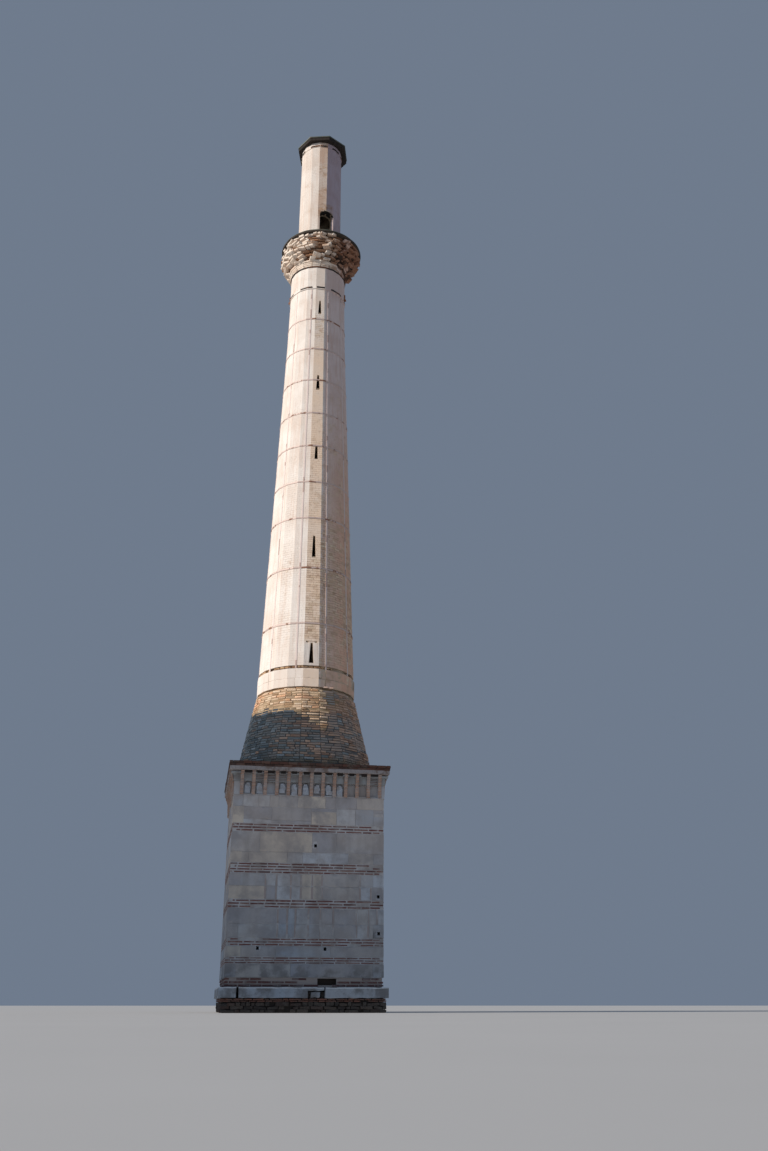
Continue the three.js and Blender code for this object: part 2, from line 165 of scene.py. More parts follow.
class Tree:
    """A node tree with short ways to place the nodes that the finishes use."""

    def __init__(self, tree):
        self.tree = tree
        self.links = tree.links

    def put(self, kind, **values):
        node = self.tree.nodes.new("ShaderNode" + kind)
        for key, value in values.items():
            setattr(node, key, value)
        return node

    def feed(self, socket, value):
        if isinstance(value, bpy.types.NodeSocket):
            self.links.new(value, socket)
        else:
            socket.default_value = value

    def places(self, stretch=None):
        here = self.put("TexCoord").outputs["Object"]
        if stretch is None:
            return here
        mapping = self.put("Mapping")
        self.feed(mapping.inputs["Vector"], here)
        mapping.inputs["Scale"].default_value = stretch
        return mapping.outputs["Vector"]

    def attribute(self, name):
        return self.put("Attribute", attribute_name=name).outputs["Fac"]

    def noise(self, scale, detail=3.0, roughness=0.55, vector=None, distortion=0.0):
        node = self.put("TexNoise")
        self.feed(node.inputs["Vector"], vector or self.places())
        self.feed(node.inputs["Scale"], scale)
        node.inputs["Detail"].default_value = detail
        node.inputs["Roughness"].default_value = roughness
        node.inputs["Distortion"].default_value = distortion
        return node.outputs["Fac"]

    def cells(self, scale):
        node = self.put("TexVoronoi")
        self.feed(node.inputs["Vector"], self.places())
        self.feed(node.inputs["Scale"], scale)
        return node.outputs["Distance"]

    def spread(self, value, low, high, to_low=0.0, to_high=1.0):
        node = self.put("MapRange", interpolation_type="SMOOTHSTEP")
        for name, given in (("Value", value), ("From Min", low), ("From Max", high),
                            ("To Min", to_low), ("To Max", to_high)):
            self.feed(node.inputs[name], given)
        return node.outputs["Result"]

    def maths(self, operation, first, second):
        node = self.put("Math", operation=operation)
        self.feed(node.inputs[0], first)
        self.feed(node.inputs[1], second)
        return node.outputs[0]

    def times(self, first, second):
        return self.maths("MULTIPLY", first, second)

    def absolute(self, value):
        return self.maths("ABSOLUTE", value, 0.0)

    def mix(self, share, first, second, blend="MIX"):
        node = self.put("Mix", data_type="RGBA", blend_type=blend)
        self.feed(node.inputs["Factor"], share)
        self.feed(node.inputs[6], first)
        self.feed(node.inputs[7], second)
        return node.outputs[2]

    def veil(self, tone, mask, share, over):
        """Lays a colour over the tone, by a share of a mask."""
        return self.mix(self.times(mask, share), tone, over)

    def ramp(self, value, stops):
        """Colours by a value, from stops of place and colour, as a screen shows it from 0 to 255."""
        node = self.put("ValToRGB")
        ramp = node.color_ramp
        while len(ramp.elements) < len(stops):
            ramp.elements.new(0.5)
        for element, (place, tone) in zip(ramp.elements, stops):
            element.position = place
            element.color = colour(*tone)
        self.feed(node.inputs["Fac"], value)
        return node.outputs["Color"]

    def coordinate(self, axis):
        parts = self.put("SeparateXYZ")
        self.feed(parts.inputs[0], self.places())
        return parts.outputs[axis]

    def height(self):
        return self.coordinate("Z")

    def group(self, group, **values):
        node = self.put("Group")
        node.node_tree = group
        for key, value in values.items():
            self.feed(node.inputs[key.replace("_", " ")], value)
        return node.outputs


def new_group(name, inputs, outputs):
    """A shader group of numbers. Returns it, its tree and the sockets of its two end nodes."""
    group = bpy.data.node_groups.new(name, "ShaderNodeTree")
    for label, value in inputs.items():
        socket = group.interface.new_socket(name=label, in_out="INPUT", socket_type="NodeSocketFloat")
        socket.default_value = value
    for label in outputs:
        group.interface.new_socket(name=label, in_out="OUTPUT", socket_type="NodeSocketFloat")
    taken = group.nodes.new("NodeGroupInput")
    given = group.nodes.new("NodeGroupOutput")
    return group, Tree(group), taken.outputs, given.inputs


def make_weathering():
    """Large patches, fine grain, small pits and rain streaks, each from 0 to 1."""
    group, tree, taken, given = new_group(
        "weathering", {"Patch Size": 0.8, "Grain Size": 0.02, "Streak Width": 0.12},
        ("Patch", "Grain", "Pits", "Streak"))
    patch = tree.noise(tree.maths("DIVIDE", 1.0, taken["Patch Size"]), 5.0, 0.6)
    grain = tree.noise(tree.maths("DIVIDE", 1.0, taken["Grain Size"]), 3.0, 0.6)
    pits = tree.cells(tree.maths("DIVIDE", 0.55, taken["Grain Size"]))
    upright = tree.places((1, 1, 0.07))
    streak = tree.noise(tree.maths("DIVIDE", 1.0, taken["Streak Width"]), 3.0, 0.5, upright)
    tree.feed(given["Patch"], tree.spread(patch, 0.36, 0.66))
    tree.feed(given["Grain"], tree.spread(grain, 0.25, 0.75))
    pitted = tree.spread(tree.noise(tree.maths("DIVIDE", 0.05, taken["Grain Size"]), 3.0, 0.6), 0.48, 0.62)
    tree.feed(given["Pits"], tree.times(tree.spread(pits, 0.08, 0.30, 1.0, 0.0), pitted))
    tree.feed(given["Streak"], tree.spread(streak, 0.44, 0.72))
    return group


def make_height_band():
    """A mask that is 1 between two heights and 0 outside, with a ragged edge."""
    group, tree, taken, given = new_group(
        "height_band", {"Low": 0.0, "High": 1.0, "Soft": 0.2, "Ragged": 0.3}, ("Mask",))
    ragged = tree.times(tree.maths("SUBTRACT", tree.noise(3.0, 4.0, 0.6), 0.5), taken["Ragged"])
    place = tree.maths("ADD", tree.height(), ragged)
    above = tree.spread(place, tree.maths("SUBTRACT", taken["Low"], taken["Soft"]), taken["Low"])
    below = tree.spread(place, taken["High"], tree.maths("ADD", taken["High"], taken["Soft"]), 1.0, 0.0)
    tree.feed(given["Mask"], tree.times(above, below))
    return group


weathering = make_weathering()
height_band = make_height_band()


class Finish(Tree):
    """A material in the making: set its colour, roughness and relief, then finish it."""

    def __init__(self, name):
        self.material = bpy.data.materials.new(name)
        self.material.use_nodes = True
        super().__init__(self.material.node_tree)
        self.shader = self.tree.nodes["Principled BSDF"]

    def weather(self, patch, grain, streak):
        """Patches, grain, pits and streaks as masks, from their sizes in metres."""
        return self.group(weathering, Patch_Size=patch, Grain_Size=grain, Streak_Width=streak)

    def band(self, low, high, soft, ragged):
        return self.group(height_band, Low=low, High=high, Soft=soft, Ragged=ragged)["Mask"]

    def painted_foot_shade(self, tone, amount=1.0):
        """Painted shade: the base is made darker and cooler towards its foot."""
        depth = self.spread(self.height(), 0.6, 6.9, amount, 0.0)
        return self.mix(depth, tone, (0.55, 0.65, 0.75, 1.0), "MULTIPLY")

    def facet_stain_and_shade(self, tone, marks):
        """The shaft's front facet is tan. Right of it the tone is multiplied darker, browner low down:
        painted shade and painted warm reflected light.
        """
        x, z = self.coordinate("X"), self.height()
        half = self.maths("SUBTRACT", 0.336, self.times(z, 0.00585))
        across = self.maths("SUBTRACT", self.absolute(x), half)
        facet = self.times(self.spread(across, -0.006, 0.006, 1.0, 0.0),
                           self.spread(self.coordinate("Y"), -0.6, -0.5, 1.0, 0.0))
        tan = self.times(self.spread(z, 11.75, 12.1), self.spread(z, 23.5, 25.5, 1.0, 0.3))
        tan = self.maths("MAXIMUM", tan, self.spread(z, 10.93, 10.97, 0.8, 0.0))
        tan = self.times(tan, self.spread(marks["Patch"], 0.0, 1.0, 0.75, 1.0))
        tone = self.veil(tone, facet, tan, colour(247, 222, 198))
        # Right of the front facet: painted shade, with painted warm reflected light browning it low down.
        beside = self.maths("SUBTRACT", x, half)
        low_painted_shade_tone = self.mix(self.spread(beside, 0.10, 1.0), colour(240, 222, 214), colour(246, 208, 186))
        painted_shade_tone = self.mix(self.spread(z, 15.0, 24.0), low_painted_shade_tone, colour(238, 226, 228))
        return self.mix(self.spread(beside, 0.0, 0.10), tone, painted_shade_tone, "MULTIPLY")

    def done(self, tone, roughness=0.9, relief=None, strength=0.5, distance=0.004, metallic=None):
        self.feed(self.shader.inputs["Base Color"], tone)
        self.feed(self.shader.inputs["Roughness"], roughness)
        if metallic is not None:
            self.feed(self.shader.inputs["Metallic"], metallic)
        if relief is not None:
            bump = self.put("Bump")
            bump.inputs["Strength"].default_value = strength
            bump.inputs["Distance"].default_value = distance
            self.feed(bump.inputs["Height"], relief)
            self.feed(self.shader.inputs["Normal"], bump.outputs["Normal"])
        return self.material


def relief_of(finish, marks, grain=0.35, pits=0.65):
    """A bump height: grain stands up and pits go in."""
    low = finish.times(marks["Pits"], -pits)
    return finish.maths("ADD", finish.times(marks["Grain"], grain), low)


def make_lime_wash(name="lime_wash", bare=0.0, dullness_and_shade=0.0, facet=False):
    """Lime wash over brick: where wear is high the brick shows. A dull one is darker all over and tan on its
    front, with painted shade on its right side.
    """
    finish = Finish(name)
    marks = finish.weather(1.1, 0.018, 0.10)
    fine = finish.weather(0.22, 0.006, 0.03)
    wash = finish.mix(marks["Patch"], colour(241, 234, 227), colour(229, 217, 207))
    wash = finish.veil(wash, marks["Streak"], 0.40, colour(216, 188, 170))
    wash = finish.veil(wash, fine["Patch"], 0.12, colour(206, 196, 184))
    brick = finish.ramp(finish.attribute("tint"), [
        (0.0, (184, 154, 130)), (0.3, (220, 194, 166)), (0.55, (202, 172, 146)),
        (0.8, (230, 210, 184)), (1.0, (208, 178, 156))])
    if facet:
        wash = finish.facet_stain_and_shade(wash, marks)
    worn = finish.maths("ADD", finish.attribute("wear"), finish.times(fine["Patch"], 0.30))
    worn = finish.spread(finish.maths("ADD", worn, bare), 0.38, 0.80)
    tone = finish.mix(worn, wash, brick)
    tone = finish.veil(tone, fine["Pits"], finish.spread(worn, 0, 1, 0.12, 0.40), colour(122, 104, 88))
    if dullness_and_shade:
        x = finish.coordinate("X")
        tone = finish.mix(dullness_and_shade, tone, colour(190, 176, 162), "MULTIPLY")
        # From the front facet's right edge on: painted shade, a cool purple-grey multiplied over the right
        # side.
        painted_shade_side = finish.spread(x, 0.16, 0.20)
        front = finish.maths("SUBTRACT", finish.spread(x, -0.20, -0.16), painted_shade_side)
        front = finish.times(front, finish.spread(marks["Patch"], 0, 1, 0.55, 1.0))
        tone = finish.mix(front, tone, colour(246, 228, 214), "MULTIPLY")
        tone = finish.mix(painted_shade_side, tone, colour(206, 198, 218), "MULTIPLY")
    relief = finish.maths("ADD", relief_of(finish, marks, 0.2, 0.4), relief_of(finish, fine, 0.1, 0.2))
    return finish.done(tone, finish.spread(marks["Grain"], 0, 1, 0.82, 0.96), relief, 0.2, 0.003)


def make_mortar(name, pale, dark, patch=0.5, painted_foot_shade=0.0):
    """Old mortar. The base's mortar has painted shade that darkens it towards its foot, and is darker behind
    its lowest band of bricks.
    """
    finish = Finish(name)
    marks = finish.weather(patch, 0.014, 0.08)
    tone = finish.mix(marks["Patch"], pale, dark)
    tone = finish.veil(tone, marks["Pits"], 0.4, colour(78, 66, 56))
    if painted_foot_shade:
        tone = finish.painted_foot_shade(tone, painted_foot_shade)
        low = finish.band(0.0, 0.975, 0.01, 0.02)
        tone = finish.mix(low, tone, colour(150, 146, 146))
    return finish.done(tone, 0.95, relief_of(finish, marks, 0.5, 0.8), 0.8, 0.006)


def make_ashlar():
    """Pale dressed stone: tint picks the quarry, wear marks the pink bricks set on end."""
    finish = Finish("ashlar")
    marks = finish.weather(0.55, 0.012, 0.09)
    broad = finish.weather(2.4, 0.05, 0.35)
    stone = finish.ramp(finish.attribute("tint"), [
        (0.0, (172, 180, 192)), (0.25, (216, 221, 228)), (0.5, (206, 206, 208)),
        (0.68, (176, 176, 184)), (0.8, (230, 219, 204)), (1.0, (216, 196, 180))])
    stone = finish.veil(stone, marks["Patch"], 0.80, colour(160, 156, 158))
    stone = finish.veil(stone, broad["Patch"], 0.45, colour(208, 192, 178))
    swirl = finish.maths("SUBTRACT", finish.noise(3.2, 6.0, 0.7, distortion=2.2), 0.5)
    veins = finish.spread(finish.absolute(swirl), 0.0, 0.022, 1.0, 0.0)
    stone = finish.veil(stone, veins, 0.20, colour(144, 140, 140))
    stone = finish.veil(stone, broad["Streak"], 0.30, colour(150, 144, 140))
    pink = finish.mix(marks["Grain"], colour(182, 162, 156), colour(198, 182, 176))
    tone = finish.mix(finish.spread(finish.attribute("wear"), 0.8, 0.95), stone, pink)
    # Patchy darkening below about 0.9 m: painted shade near the ground.
    low = finish.band(-1.0, 0.9, 0.9, 0.9)
    painted_low_shade = finish.times(low, finish.spread(marks["Patch"], 0.1, 0.9, 0.05, 0.60))
    tone = finish.mix(painted_low_shade, tone, colour(112, 108, 106))
    # Painted shade, darker and cooler towards the foot.
    tone = finish.painted_foot_shade(finish.veil(tone, marks["Pits"], 0.30, colour(112, 108, 104)))
    # A pale blue-white line along the plinth's top arris: a painted highlight.
    arris = finish.band(PLINTH_TOP - 0.028, PLINTH_TOP + 0.1, 0.015, 0.04)
    under_top = finish.spread(finish.height(), PLINTH_TOP, PLINTH_TOP + 0.02, 0.7, 0.0)
    tone = finish.veil(tone, arris, under_top, colour(214, 224, 234))
    relief = finish.maths("ADD", relief_of(finish, marks), finish.times(veins, -0.3))
    return finish.done(tone, finish.spread(marks["Grain"], 0, 1, 0.7, 0.9), relief, 0.5, 0.004)


def make_brick(name, tones, smear, smear_share, patch=0.35):
    """Fired brick: each brick's tint picks a tone, and old mortar or lichen is smeared over some."""
    finish = Finish(name)
    marks = finish.weather(patch, 0.010, 0.06)
    fine = finish.noise(38.0, 4.0, 0.65)
    tone = finish.ramp(finish.attribute("tint"), [(i / (len(tones) - 1), t) for i, t in enumerate(tones)])
    tone = finish.mix(finish.spread(fine, 0.45, 0.75, 0.0, 0.5), tone, colour(104, 76, 62), "MULTIPLY")
    tone = finish.veil(tone, finish.spread(marks["Patch"], 0.35, 0.9), smear_share, smear)
    tone = finish.veil(tone, marks["Pits"], 0.4, colour(60, 46, 38))
    return finish, tone, marks, relief_of(finish, marks, 0.5, 0.6)


def make_band_brick():
    finish, tone, _, relief = make_brick(
        "band_brick",
        [(122, 78, 74), (140, 94, 88), (108, 74, 72), (152, 112, 102),
         (128, 84, 80)],
        colour(178, 170, 166), 0.42)
    # Painted shade, darker and cooler towards the foot.
    return finish.done(finish.painted_foot_shade(tone, 0.8), 0.92, relief, 0.7, 0.005)


def make_rough_brick(name, tones, smear):
    """The transition's brick, damp and green low down."""
    finish, tone, _, relief = make_brick(name, tones, smear, 0.45, 0.7)
    damp = finish.band(7.2, 7.50, 0.4, 0.5)
    tone = finish.veil(tone, damp, 0.6, colour(108, 106, 82))
    return finish.done(tone, 0.95, relief, 0.8, 0.008)


def make_stained(name, tones, smear, share, patch=0.35, roughness=0.92, strength=0.6, distance=0.005):
    """Stone, brick or plaster of a few tones, without the painted shade that darkens the base towards its
    foot.
    """
    finish, tone, _, relief = make_brick(name, tones, smear, share, patch)
    return finish.done(tone, roughness, relief, strength, distance)


def make_corbel_brick():
    """Broken brick ends with plaster left on them; wear makes them browner, and painted shade darkens them
    towards the right.
    """
    finish, tone, marks, relief = make_brick(
        "corbel_brick",
        [(166, 126, 96), (146, 104, 76), (186, 148, 118), (134, 98, 74)],
        colour(206, 186, 164), 0.2, 0.3)
    plaster = finish.mix(marks["Patch"], colour(240, 228, 214), colour(222, 202, 184))
    bare = finish.maths("ADD", finish.attribute("wear"), finish.times(marks["Patch"], 0.35))
    tone = finish.mix(finish.spread(bare, 0.35, 0.95), plaster, tone)
    # Painted shade, darker towards the right.
    painted_shade_right = finish.spread(finish.coordinate("X"), 0.35, 0.95)
    tone = finish.mix(painted_shade_right, tone, colour(238, 220, 218), "MULTIPLY")
    return finish.done(tone, 0.93, relief, 0.7, 0.006)


def make_niche_plaster():
    """The frieze's plaster: pale low in the niches, grey above."""
    finish = Finish("niche_plaster")
    marks = finish.weather(0.28, 0.012, 0.05)
    broad = finish.weather(1.3, 0.05, 0.30)
    low = finish.band(6.40, 6.80, 0.05, 0.10)
    grey = finish.mix(marks["Patch"], colour(164, 168, 170), colour(138, 134, 132))
    pale = finish.veil(colour(196, 200, 206), broad["Patch"], 0.8, colour(168, 156, 148))
    tone = finish.mix(low, grey, pale)
    tone = finish.veil(tone, marks["Pits"], 0.5, colour(88, 74, 64))
    return finish.done(tone, 0.93, relief_of(finish, marks), 0.7, 0.005)


def make_slab_stone():
    """Dark weathered stone, green with moss on top."""
    finish = Finish("dark_slab")
    marks = finish.weather(0.4, 0.012, 0.05)
    tone = finish.mix(marks["Patch"], colour(52, 44, 38), colour(72, 62, 52))
    top = finish.band(30.06, 31.0, 0.010, 0.01)
    moss = finish.mix(marks["Patch"], colour(98, 122, 108), colour(122, 132, 116))
    tone = finish.mix(top, tone, moss)
    return finish.done(tone, 0.85, relief_of(finish, marks), 0.6, 0.005)


def make_iron(name, paint, rust, share, dashes=0.0):
    """Old paint over iron, with rust coming through in patches, and in dashes where the wear is high."""
    finish = Finish(name)
    marks = finish.weather(0.35, 0.008, 0.03)
    bare = finish.spread(marks["Patch"], share, share + 0.25)
    if dashes:
        rusted = finish.times(finish.attribute("wear"), dashes)
        bare = finish.maths("MAXIMUM", bare, finish.times(rusted, marks["Grain"]))
    tone = finish.mix(bare, paint, finish.mix(marks["Grain"], rust, colour(140, 92, 64)))
    eaten = finish.times(bare, -0.5)
    relief = finish.maths("ADD", eaten, finish.times(marks["Grain"], 0.3))
    metal = finish.spread(bare, 0, 1, 0.15, 0.0)
    return finish.done(tone, finish.spread(bare, 0, 1, 0.62, 0.9), relief, 0.5, 0.002, metal)


# The boards are near black, partly their own dark wood and partly painted shade under the cap.
def make_boards():
    finish = Finish("cap_boards")
    long_grain = finish.noise(26.0, 5.0, 0.65, finish.places((0.08, 1, 1)), 0.4)
    marks = finish.weather(0.3, 0.01, 0.05)
    tone = finish.ramp(finish.attribute("tint"), [
        (0.0, (28, 23, 20)), (0.5, (40, 31, 26)), (1.0, (34, 28, 24))])
    tone = finish.mix(finish.spread(long_grain, 0.4, 0.7, 0.0, 0.6), tone, colour(44, 34, 28))
    tone = finish.veil(tone, marks["Patch"], 0.2, colour(64, 54, 47))
    return finish.done(tone, 0.88, long_grain, 0.5, 0.003)


def make_sheet_metal():
    finish = Finish("sheet_metal")
    marks = finish.weather(0.4, 0.01, 0.06)
    tone = finish.mix(marks["Patch"], colour(92, 102, 94), colour(114, 118, 108))
    tone = finish.veil(tone, marks["Streak"], 0.4, colour(120, 84, 60))
    roughness = finish.spread(marks["Patch"], 0, 1, 0.45, 0.7)
    metal = finish.spread(marks["Streak"], 0, 1, 0.55, 0.1)
    return finish.done(tone, roughness, marks["Grain"], 0.15, 0.001, metal)


def make_floor():
    finish = Finish("studio_floor")
    tone = finish.mix(finish.noise(0.35, 3.0), colour(206, 206, 205), colour(200, 200, 199))
    return finish.done(tone, 0.95)


LIME = make_lime_wash(facet=True)
DRUM_WASH = make_lime_wash("drum_wash", 0.0, 0.22)
RING_STONE = make_lime_wash("ring_stone", -0.12, facet=True)
LIME_MORTAR = make_mortar("lime_mortar", colour(206, 190, 170), colour(150, 128, 106))
WALL_MORTAR = make_mortar("wall_mortar", colour(206, 204, 204), colour(172, 164, 160), painted_foot_shade=0.9)
ROUGH_MORTAR = make_mortar("rough_mortar", colour(116, 116, 114), colour(84, 86, 88))
# The transition's mortar in the light is a paler, warmer copy of the grey mortar below it: painted light and
# shade.
SUNNY_MORTAR = make_mortar("sunny_mortar", colour(182, 158, 128), colour(142, 120, 94))
# The corbel mortar is made near black so the gaps between the rows of brick ends read dark: painted shade.
CORBEL_MORTAR = make_mortar("corbel_mortar", colour(92, 66, 50), colour(56, 40, 32), 0.3)
FOOTING_MORTAR = make_mortar("footing_mortar", colour(50, 46, 44), colour(34, 32, 32), 0.3)
ASHLAR = make_ashlar()
BAND_BRICK = make_band_brick()
# The transition's brick in the light: a paler copy, painted light.
SUNNY_BRICK = make_rough_brick(
    "sunny_brick",
    [(226, 194, 158), (240, 214, 184), (200, 156, 116), (236, 188, 152),
     (244, 222, 196), (186, 150, 116), (150, 130, 106), (120, 112, 100)],
    colour(226, 206, 178))
ERODED_BRICK = make_stained(
    "eroded_brick", [(182, 146, 112), (214, 184, 148), (152, 116, 88)],
    colour(214, 190, 160), 0.3)
# The transition's brick in the shade: its cool blue-grey tones, used on the left, are painted shade; its
# browns are brick.
SHADE_TINTED_BRICK = make_rough_brick(
    "shade_tinted_brick",
    [(112, 128, 136), (172, 186, 194), (120, 130, 132), (176, 172, 168),
     (140, 122, 110), (218, 186, 164), (160, 130, 112), (206, 170, 146)],
    colour(152, 156, 156))
FRIEZE_BRICK = make_stained(
    "frieze_brick",
    [(186, 146, 124), (202, 164, 140), (172, 136, 118), (208, 176, 154)],
    colour(188, 182, 178), 0.45, distance=0.004)
NICHE_PLASTER = make_niche_plaster()
ARCH_BRICK = make_stained(
    "arch_brick", [(96, 80, 74), (122, 98, 88)], colour(150, 142, 138), 0.3)
PANEL_PLASTER = make_stained(
    "panel_plaster", [(200, 208, 219), (174, 179, 187)], colour(162, 156, 153), 0.6)
CORNICE_STONE = make_stained(
    "cornice_stone", [(168, 162, 162), (184, 180, 180), (150, 138, 134)],
    colour(124, 104, 92), 0.75)
# Black, used as painted shade in the frieze's slots and in the hollow over the plinth, and for the dark
# bricks round the door's head.
BLACK_FILL = make_stained("black_fill", [(36, 31, 29), (50, 41, 37)], colour(60, 52, 46), 0.2)
CORBEL_BRICK = make_corbel_brick()
RED_TILE = make_stained(
    "red_tile", [(92, 62, 54), (108, 74, 62), (78, 58, 52), (122, 92, 80)],
    colour(104, 98, 90), 0.5, 0.3, 0.9, distance=0.004)
RUBBLE = make_stained(
    "rubble",
    [(64, 62, 62), (84, 78, 74), (56, 54, 54), (92, 70, 64), (132, 94, 84)],
    colour(88, 86, 84), 0.4, 0.25, 0.95, 0.9, 0.010)
SLAB_STONE = make_slab_stone()
STRAP_IRON = make_iron("strap_iron", colour(224, 208, 202), colour(140, 104, 92), 0.88, 0.9)
HOOP_IRON = make_iron("hoop_iron", colour(208, 188, 180), colour(160, 126, 112), 0.62)
HOOK_IRON = make_iron("hook_iron", colour(128, 88, 64), colour(150, 98, 66), 0.3)
DARK_IRON = make_iron("dark_iron", colour(48, 42, 36), colour(50, 38, 30), 0.4)
BOARDS = make_boards()
SHEET_METAL = make_sheet_metal()


# Small blocks, repeated

WORN_EDGE = 0.1    # the worn edge of a block of size 1


def block_template(cuts_across=0, cuts_up=0, edges="front"):
    """A block with worn edges, whose front may be divided for roughening.

    Returns how far each corner lies from the middle as shares, its part of the worn edge, and the faces.
    """
    bm = bmesh.new()
    bmesh.ops.create_cube(bm, size=1.0)
    worn = [e for e in bm.edges if edges == "all" or all(v.co.y < 0 for v in e.verts)]
    bmesh.ops.bevel(bm, geom=worn, offset=WORN_EDGE, affect="EDGES", segments=1, profile=0.5, material=-1)
    if cuts_across:
        chosen = [e for e in bm.edges if abs(e.verts[0].co.x - e.verts[1].co.x) > 0.7]
        bmesh.ops.subdivide_edges(bm, edges=chosen, cuts=cuts_across, use_grid_fill=True)
    if cuts_up:
        chosen = [e for e in bm.edges if all(v.co.y < -0.499 for v in e.verts)
                  and abs(e.verts[0].co.z - e.verts[1].co.z) > 0.7]
        bmesh.ops.subdivide_edges(bm, edges=chosen, cuts=cuts_up, use_grid_fill=True)
    bmesh.ops.recalc_face_normals(bm, faces=bm.faces)
    places = np.array([v.co for v in bm.verts])
    shares = np.clip(places / (0.5 - WORN_EDGE), -1, 1)
    edge = (places - shares * (0.5 - WORN_EDGE)) / WORN_EDGE
    faces = [[v.index for v in f.verts] for f in bm.faces]
    bm.free()
    return shares, edge, faces


def shape_template(bm):
    """Any small closed shape that fits a cube of side 1, ready to be laid like a block."""
    bmesh.ops.recalc_face_normals(bm, faces=bm.faces)
    shares = np.array([v.co for v in bm.verts]) * 2
    faces = [[v.index for v in f.verts] for f in bm.faces]
    bm.free()
    return shares, np.zeros_like(shares), faces


def stone_template():
    """A rounded stone."""
    bm = bmesh.new()
    bmesh.ops.create_cube(bm, size=1.0)
    bmesh.ops.subdivide_edges(bm, edges=bm.edges, cuts=2, use_grid_fill=True)
    bmesh.ops.smooth_vert(bm, verts=bm.verts, factor=0.35, use_axis_x=True, use_axis_y=True,
                          use_axis_z=True)
    low, high = (f(v.co[i] for v in bm.verts for i in range(3)) for f in (min, max))
    bmesh.ops.scale(bm, vec=Vector((1, 1, 1)) / (high - low), verts=bm.verts)
    return shape_template(bm)


def rivet_template():
    """A rivet's head, tapering outwards."""
    bm = bmesh.new()
    bmesh.ops.create_cone(bm, cap_ends=True, segments=8, radius1=0.5, radius2=0.32, depth=1.0,
                          matrix=Matrix.Rotation(math.pi / 2, 4, "X"))
    return shape_template(bm)


PLAIN_BRICK = block_template()
WORN_BRICK = block_template(edges="all")
DRESSED_BLOCK = block_template(cuts_across=11, cuts_up=4)
PLINTH_BLOCK = block_template(cuts_across=18, cuts_up=4, edges="all")
STONE = stone_template()
RIVET = rivet_template()


class Blocks:
    """Blocks to lay: each has the middle of its outer face, its axes, size, tint and wear."""

    def __init__(self):
        self.parts = []

    def add(self, place, right, up, size, tint=0.5, wear=0.0):
        self.parts.append(np.array([[*place, *right, *up, *size, tint, wear]]))

    def add_many(self, place, right, up, size, tint, wear):
        self.parts.append(np.column_stack([place, right, up, size, tint, wear]))

    def table(self):
        return np.vstack(self.parts)


def mesh_of(bm, name):
    """Turns a bmesh into a mesh, and frees it."""
    mesh = bpy.data.meshes.new(name)
    bm.to_mesh(mesh)
    bm.free()
    return mesh


def finish_piece(name, mesh, material, replaces=(), smooth_under=38):
    """Turns a mesh into a piece of the tower, which rides on its only body."""
    mesh.shade_smooth()
    mesh.set_sharp_from_angle(angle=math.radians(smooth_under))
    piece = bpy.data.objects.new(name, mesh)
    scene.collection.objects.link(piece)
    if max(v.co.z for v in mesh.vertices) > SHADE_TOP + 0.4:
        key_lit.objects.link(piece)
    mesh.materials.append(material)
    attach(piece, "root")
    if replaces:
        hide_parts(*replaces)
    return piece


def lay(name, blocks, template, material, slot, chip=(0.003, 0.009), rough=0.0012, bumps=0.0,
        bump_size=0.12, worn_edge=0.0, replaces=(), smooth_under=38):
    """Joins one copy of the template for each block into a single mesh.

    chip is the width of the worn edges and rough the corners' unevenness, each from no wear to full wear.
    """
    shares, edge, faces = template
    rows = blocks.table()
    place, right, up, size = rows[:, 0:3], rows[:, 3:6], rows[:, 6:9], rows[:, 9:12]
    right = right / np.linalg.norm(right, axis=1, keepdims=True)
    up = up / np.linalg.norm(up, axis=1, keepdims=True)
    inward = -np.cross(right, up)
    chips = chip[0] + (chip[1] - chip[0]) * rows[:, 13]
    least, most = rough if isinstance(rough, tuple) else (rough, rough)
    rough = (least + (most - least) * rows[:, 13])[:, None, None]
    chips = np.minimum(chips, size.min(axis=1) * 0.3)[:, None, None]
    if not edge.any():
        chips = chips * 0
    local = shares * (size[:, None, :] / 2 - chips) + edge * chips
    local += rng.normal(0, 1, local.shape) * rough
    if worn_edge:
        spot = place[:, None, :] + right[:, None, :] * local[..., 0:1] + up[:, None, :] * local[..., 2:3]
        bite = np.maximum(drift(spot, 0.09, 21), 0) + np.maximum(drift(spot, 0.31, 22), 0)
        local[..., 0] -= np.sign(local[..., 0]) * bite * worn_edge * (np.abs(edge[:, 0]) > 0.5)
        local[..., 2] -= np.sign(local[..., 2]) * bite * worn_edge * (np.abs(edge[:, 2]) > 0.5)
    local[..., 1] = np.maximum(local[..., 1] + size[:, None, 1] / 2, 0)
    points = (place[:, None, :] + right[:, None, :] * local[..., 0:1]
              + inward[:, None, :] * local[..., 1:2] + up[:, None, :] * local[..., 2:3])
    if bumps:
        lift = np.abs(drift(points, bump_size, 5)) + 0.6 * np.abs(drift(points, bump_size * 0.37, 6))
        front = local[..., 1] < size[:, None, 1] * 0.5
        points += inward[:, None, :] * (lift * front * bumps)[..., None]
    points[..., 2] = np.maximum(points[..., 2], 0)
    count, corners = points.shape[:2]
    mesh = bpy.data.meshes.new(name)
    flat = np.concatenate([np.array(f) for f in faces])
    loops = (flat[None, :] + np.arange(count)[:, None] * corners).ravel()
    lengths = np.tile([len(f) for f in faces], count)
    mesh.vertices.add(count * corners)
    mesh.vertices.foreach_set("co", points.astype(np.float32).ravel())
    mesh.loops.add(len(loops))
    mesh.loops.foreach_set("vertex_index", loops.astype(np.int32))
    mesh.polygons.add(len(lengths))
    mesh.polygons.foreach_set("loop_start", np.concatenate([[0], np.cumsum(lengths)[:-1]]).astype(np.int32))
    mesh.update(calc_edges=True)
    for label, column in (("tint", 12), ("wear", 13)):
        values = mesh.attributes.new(label, "FLOAT", "POINT")
        values.data.foreach_set("value", np.repeat(rows[:, column], corners).astype(np.float32))
    return finish_piece(name, mesh, material, replaces, smooth_under)


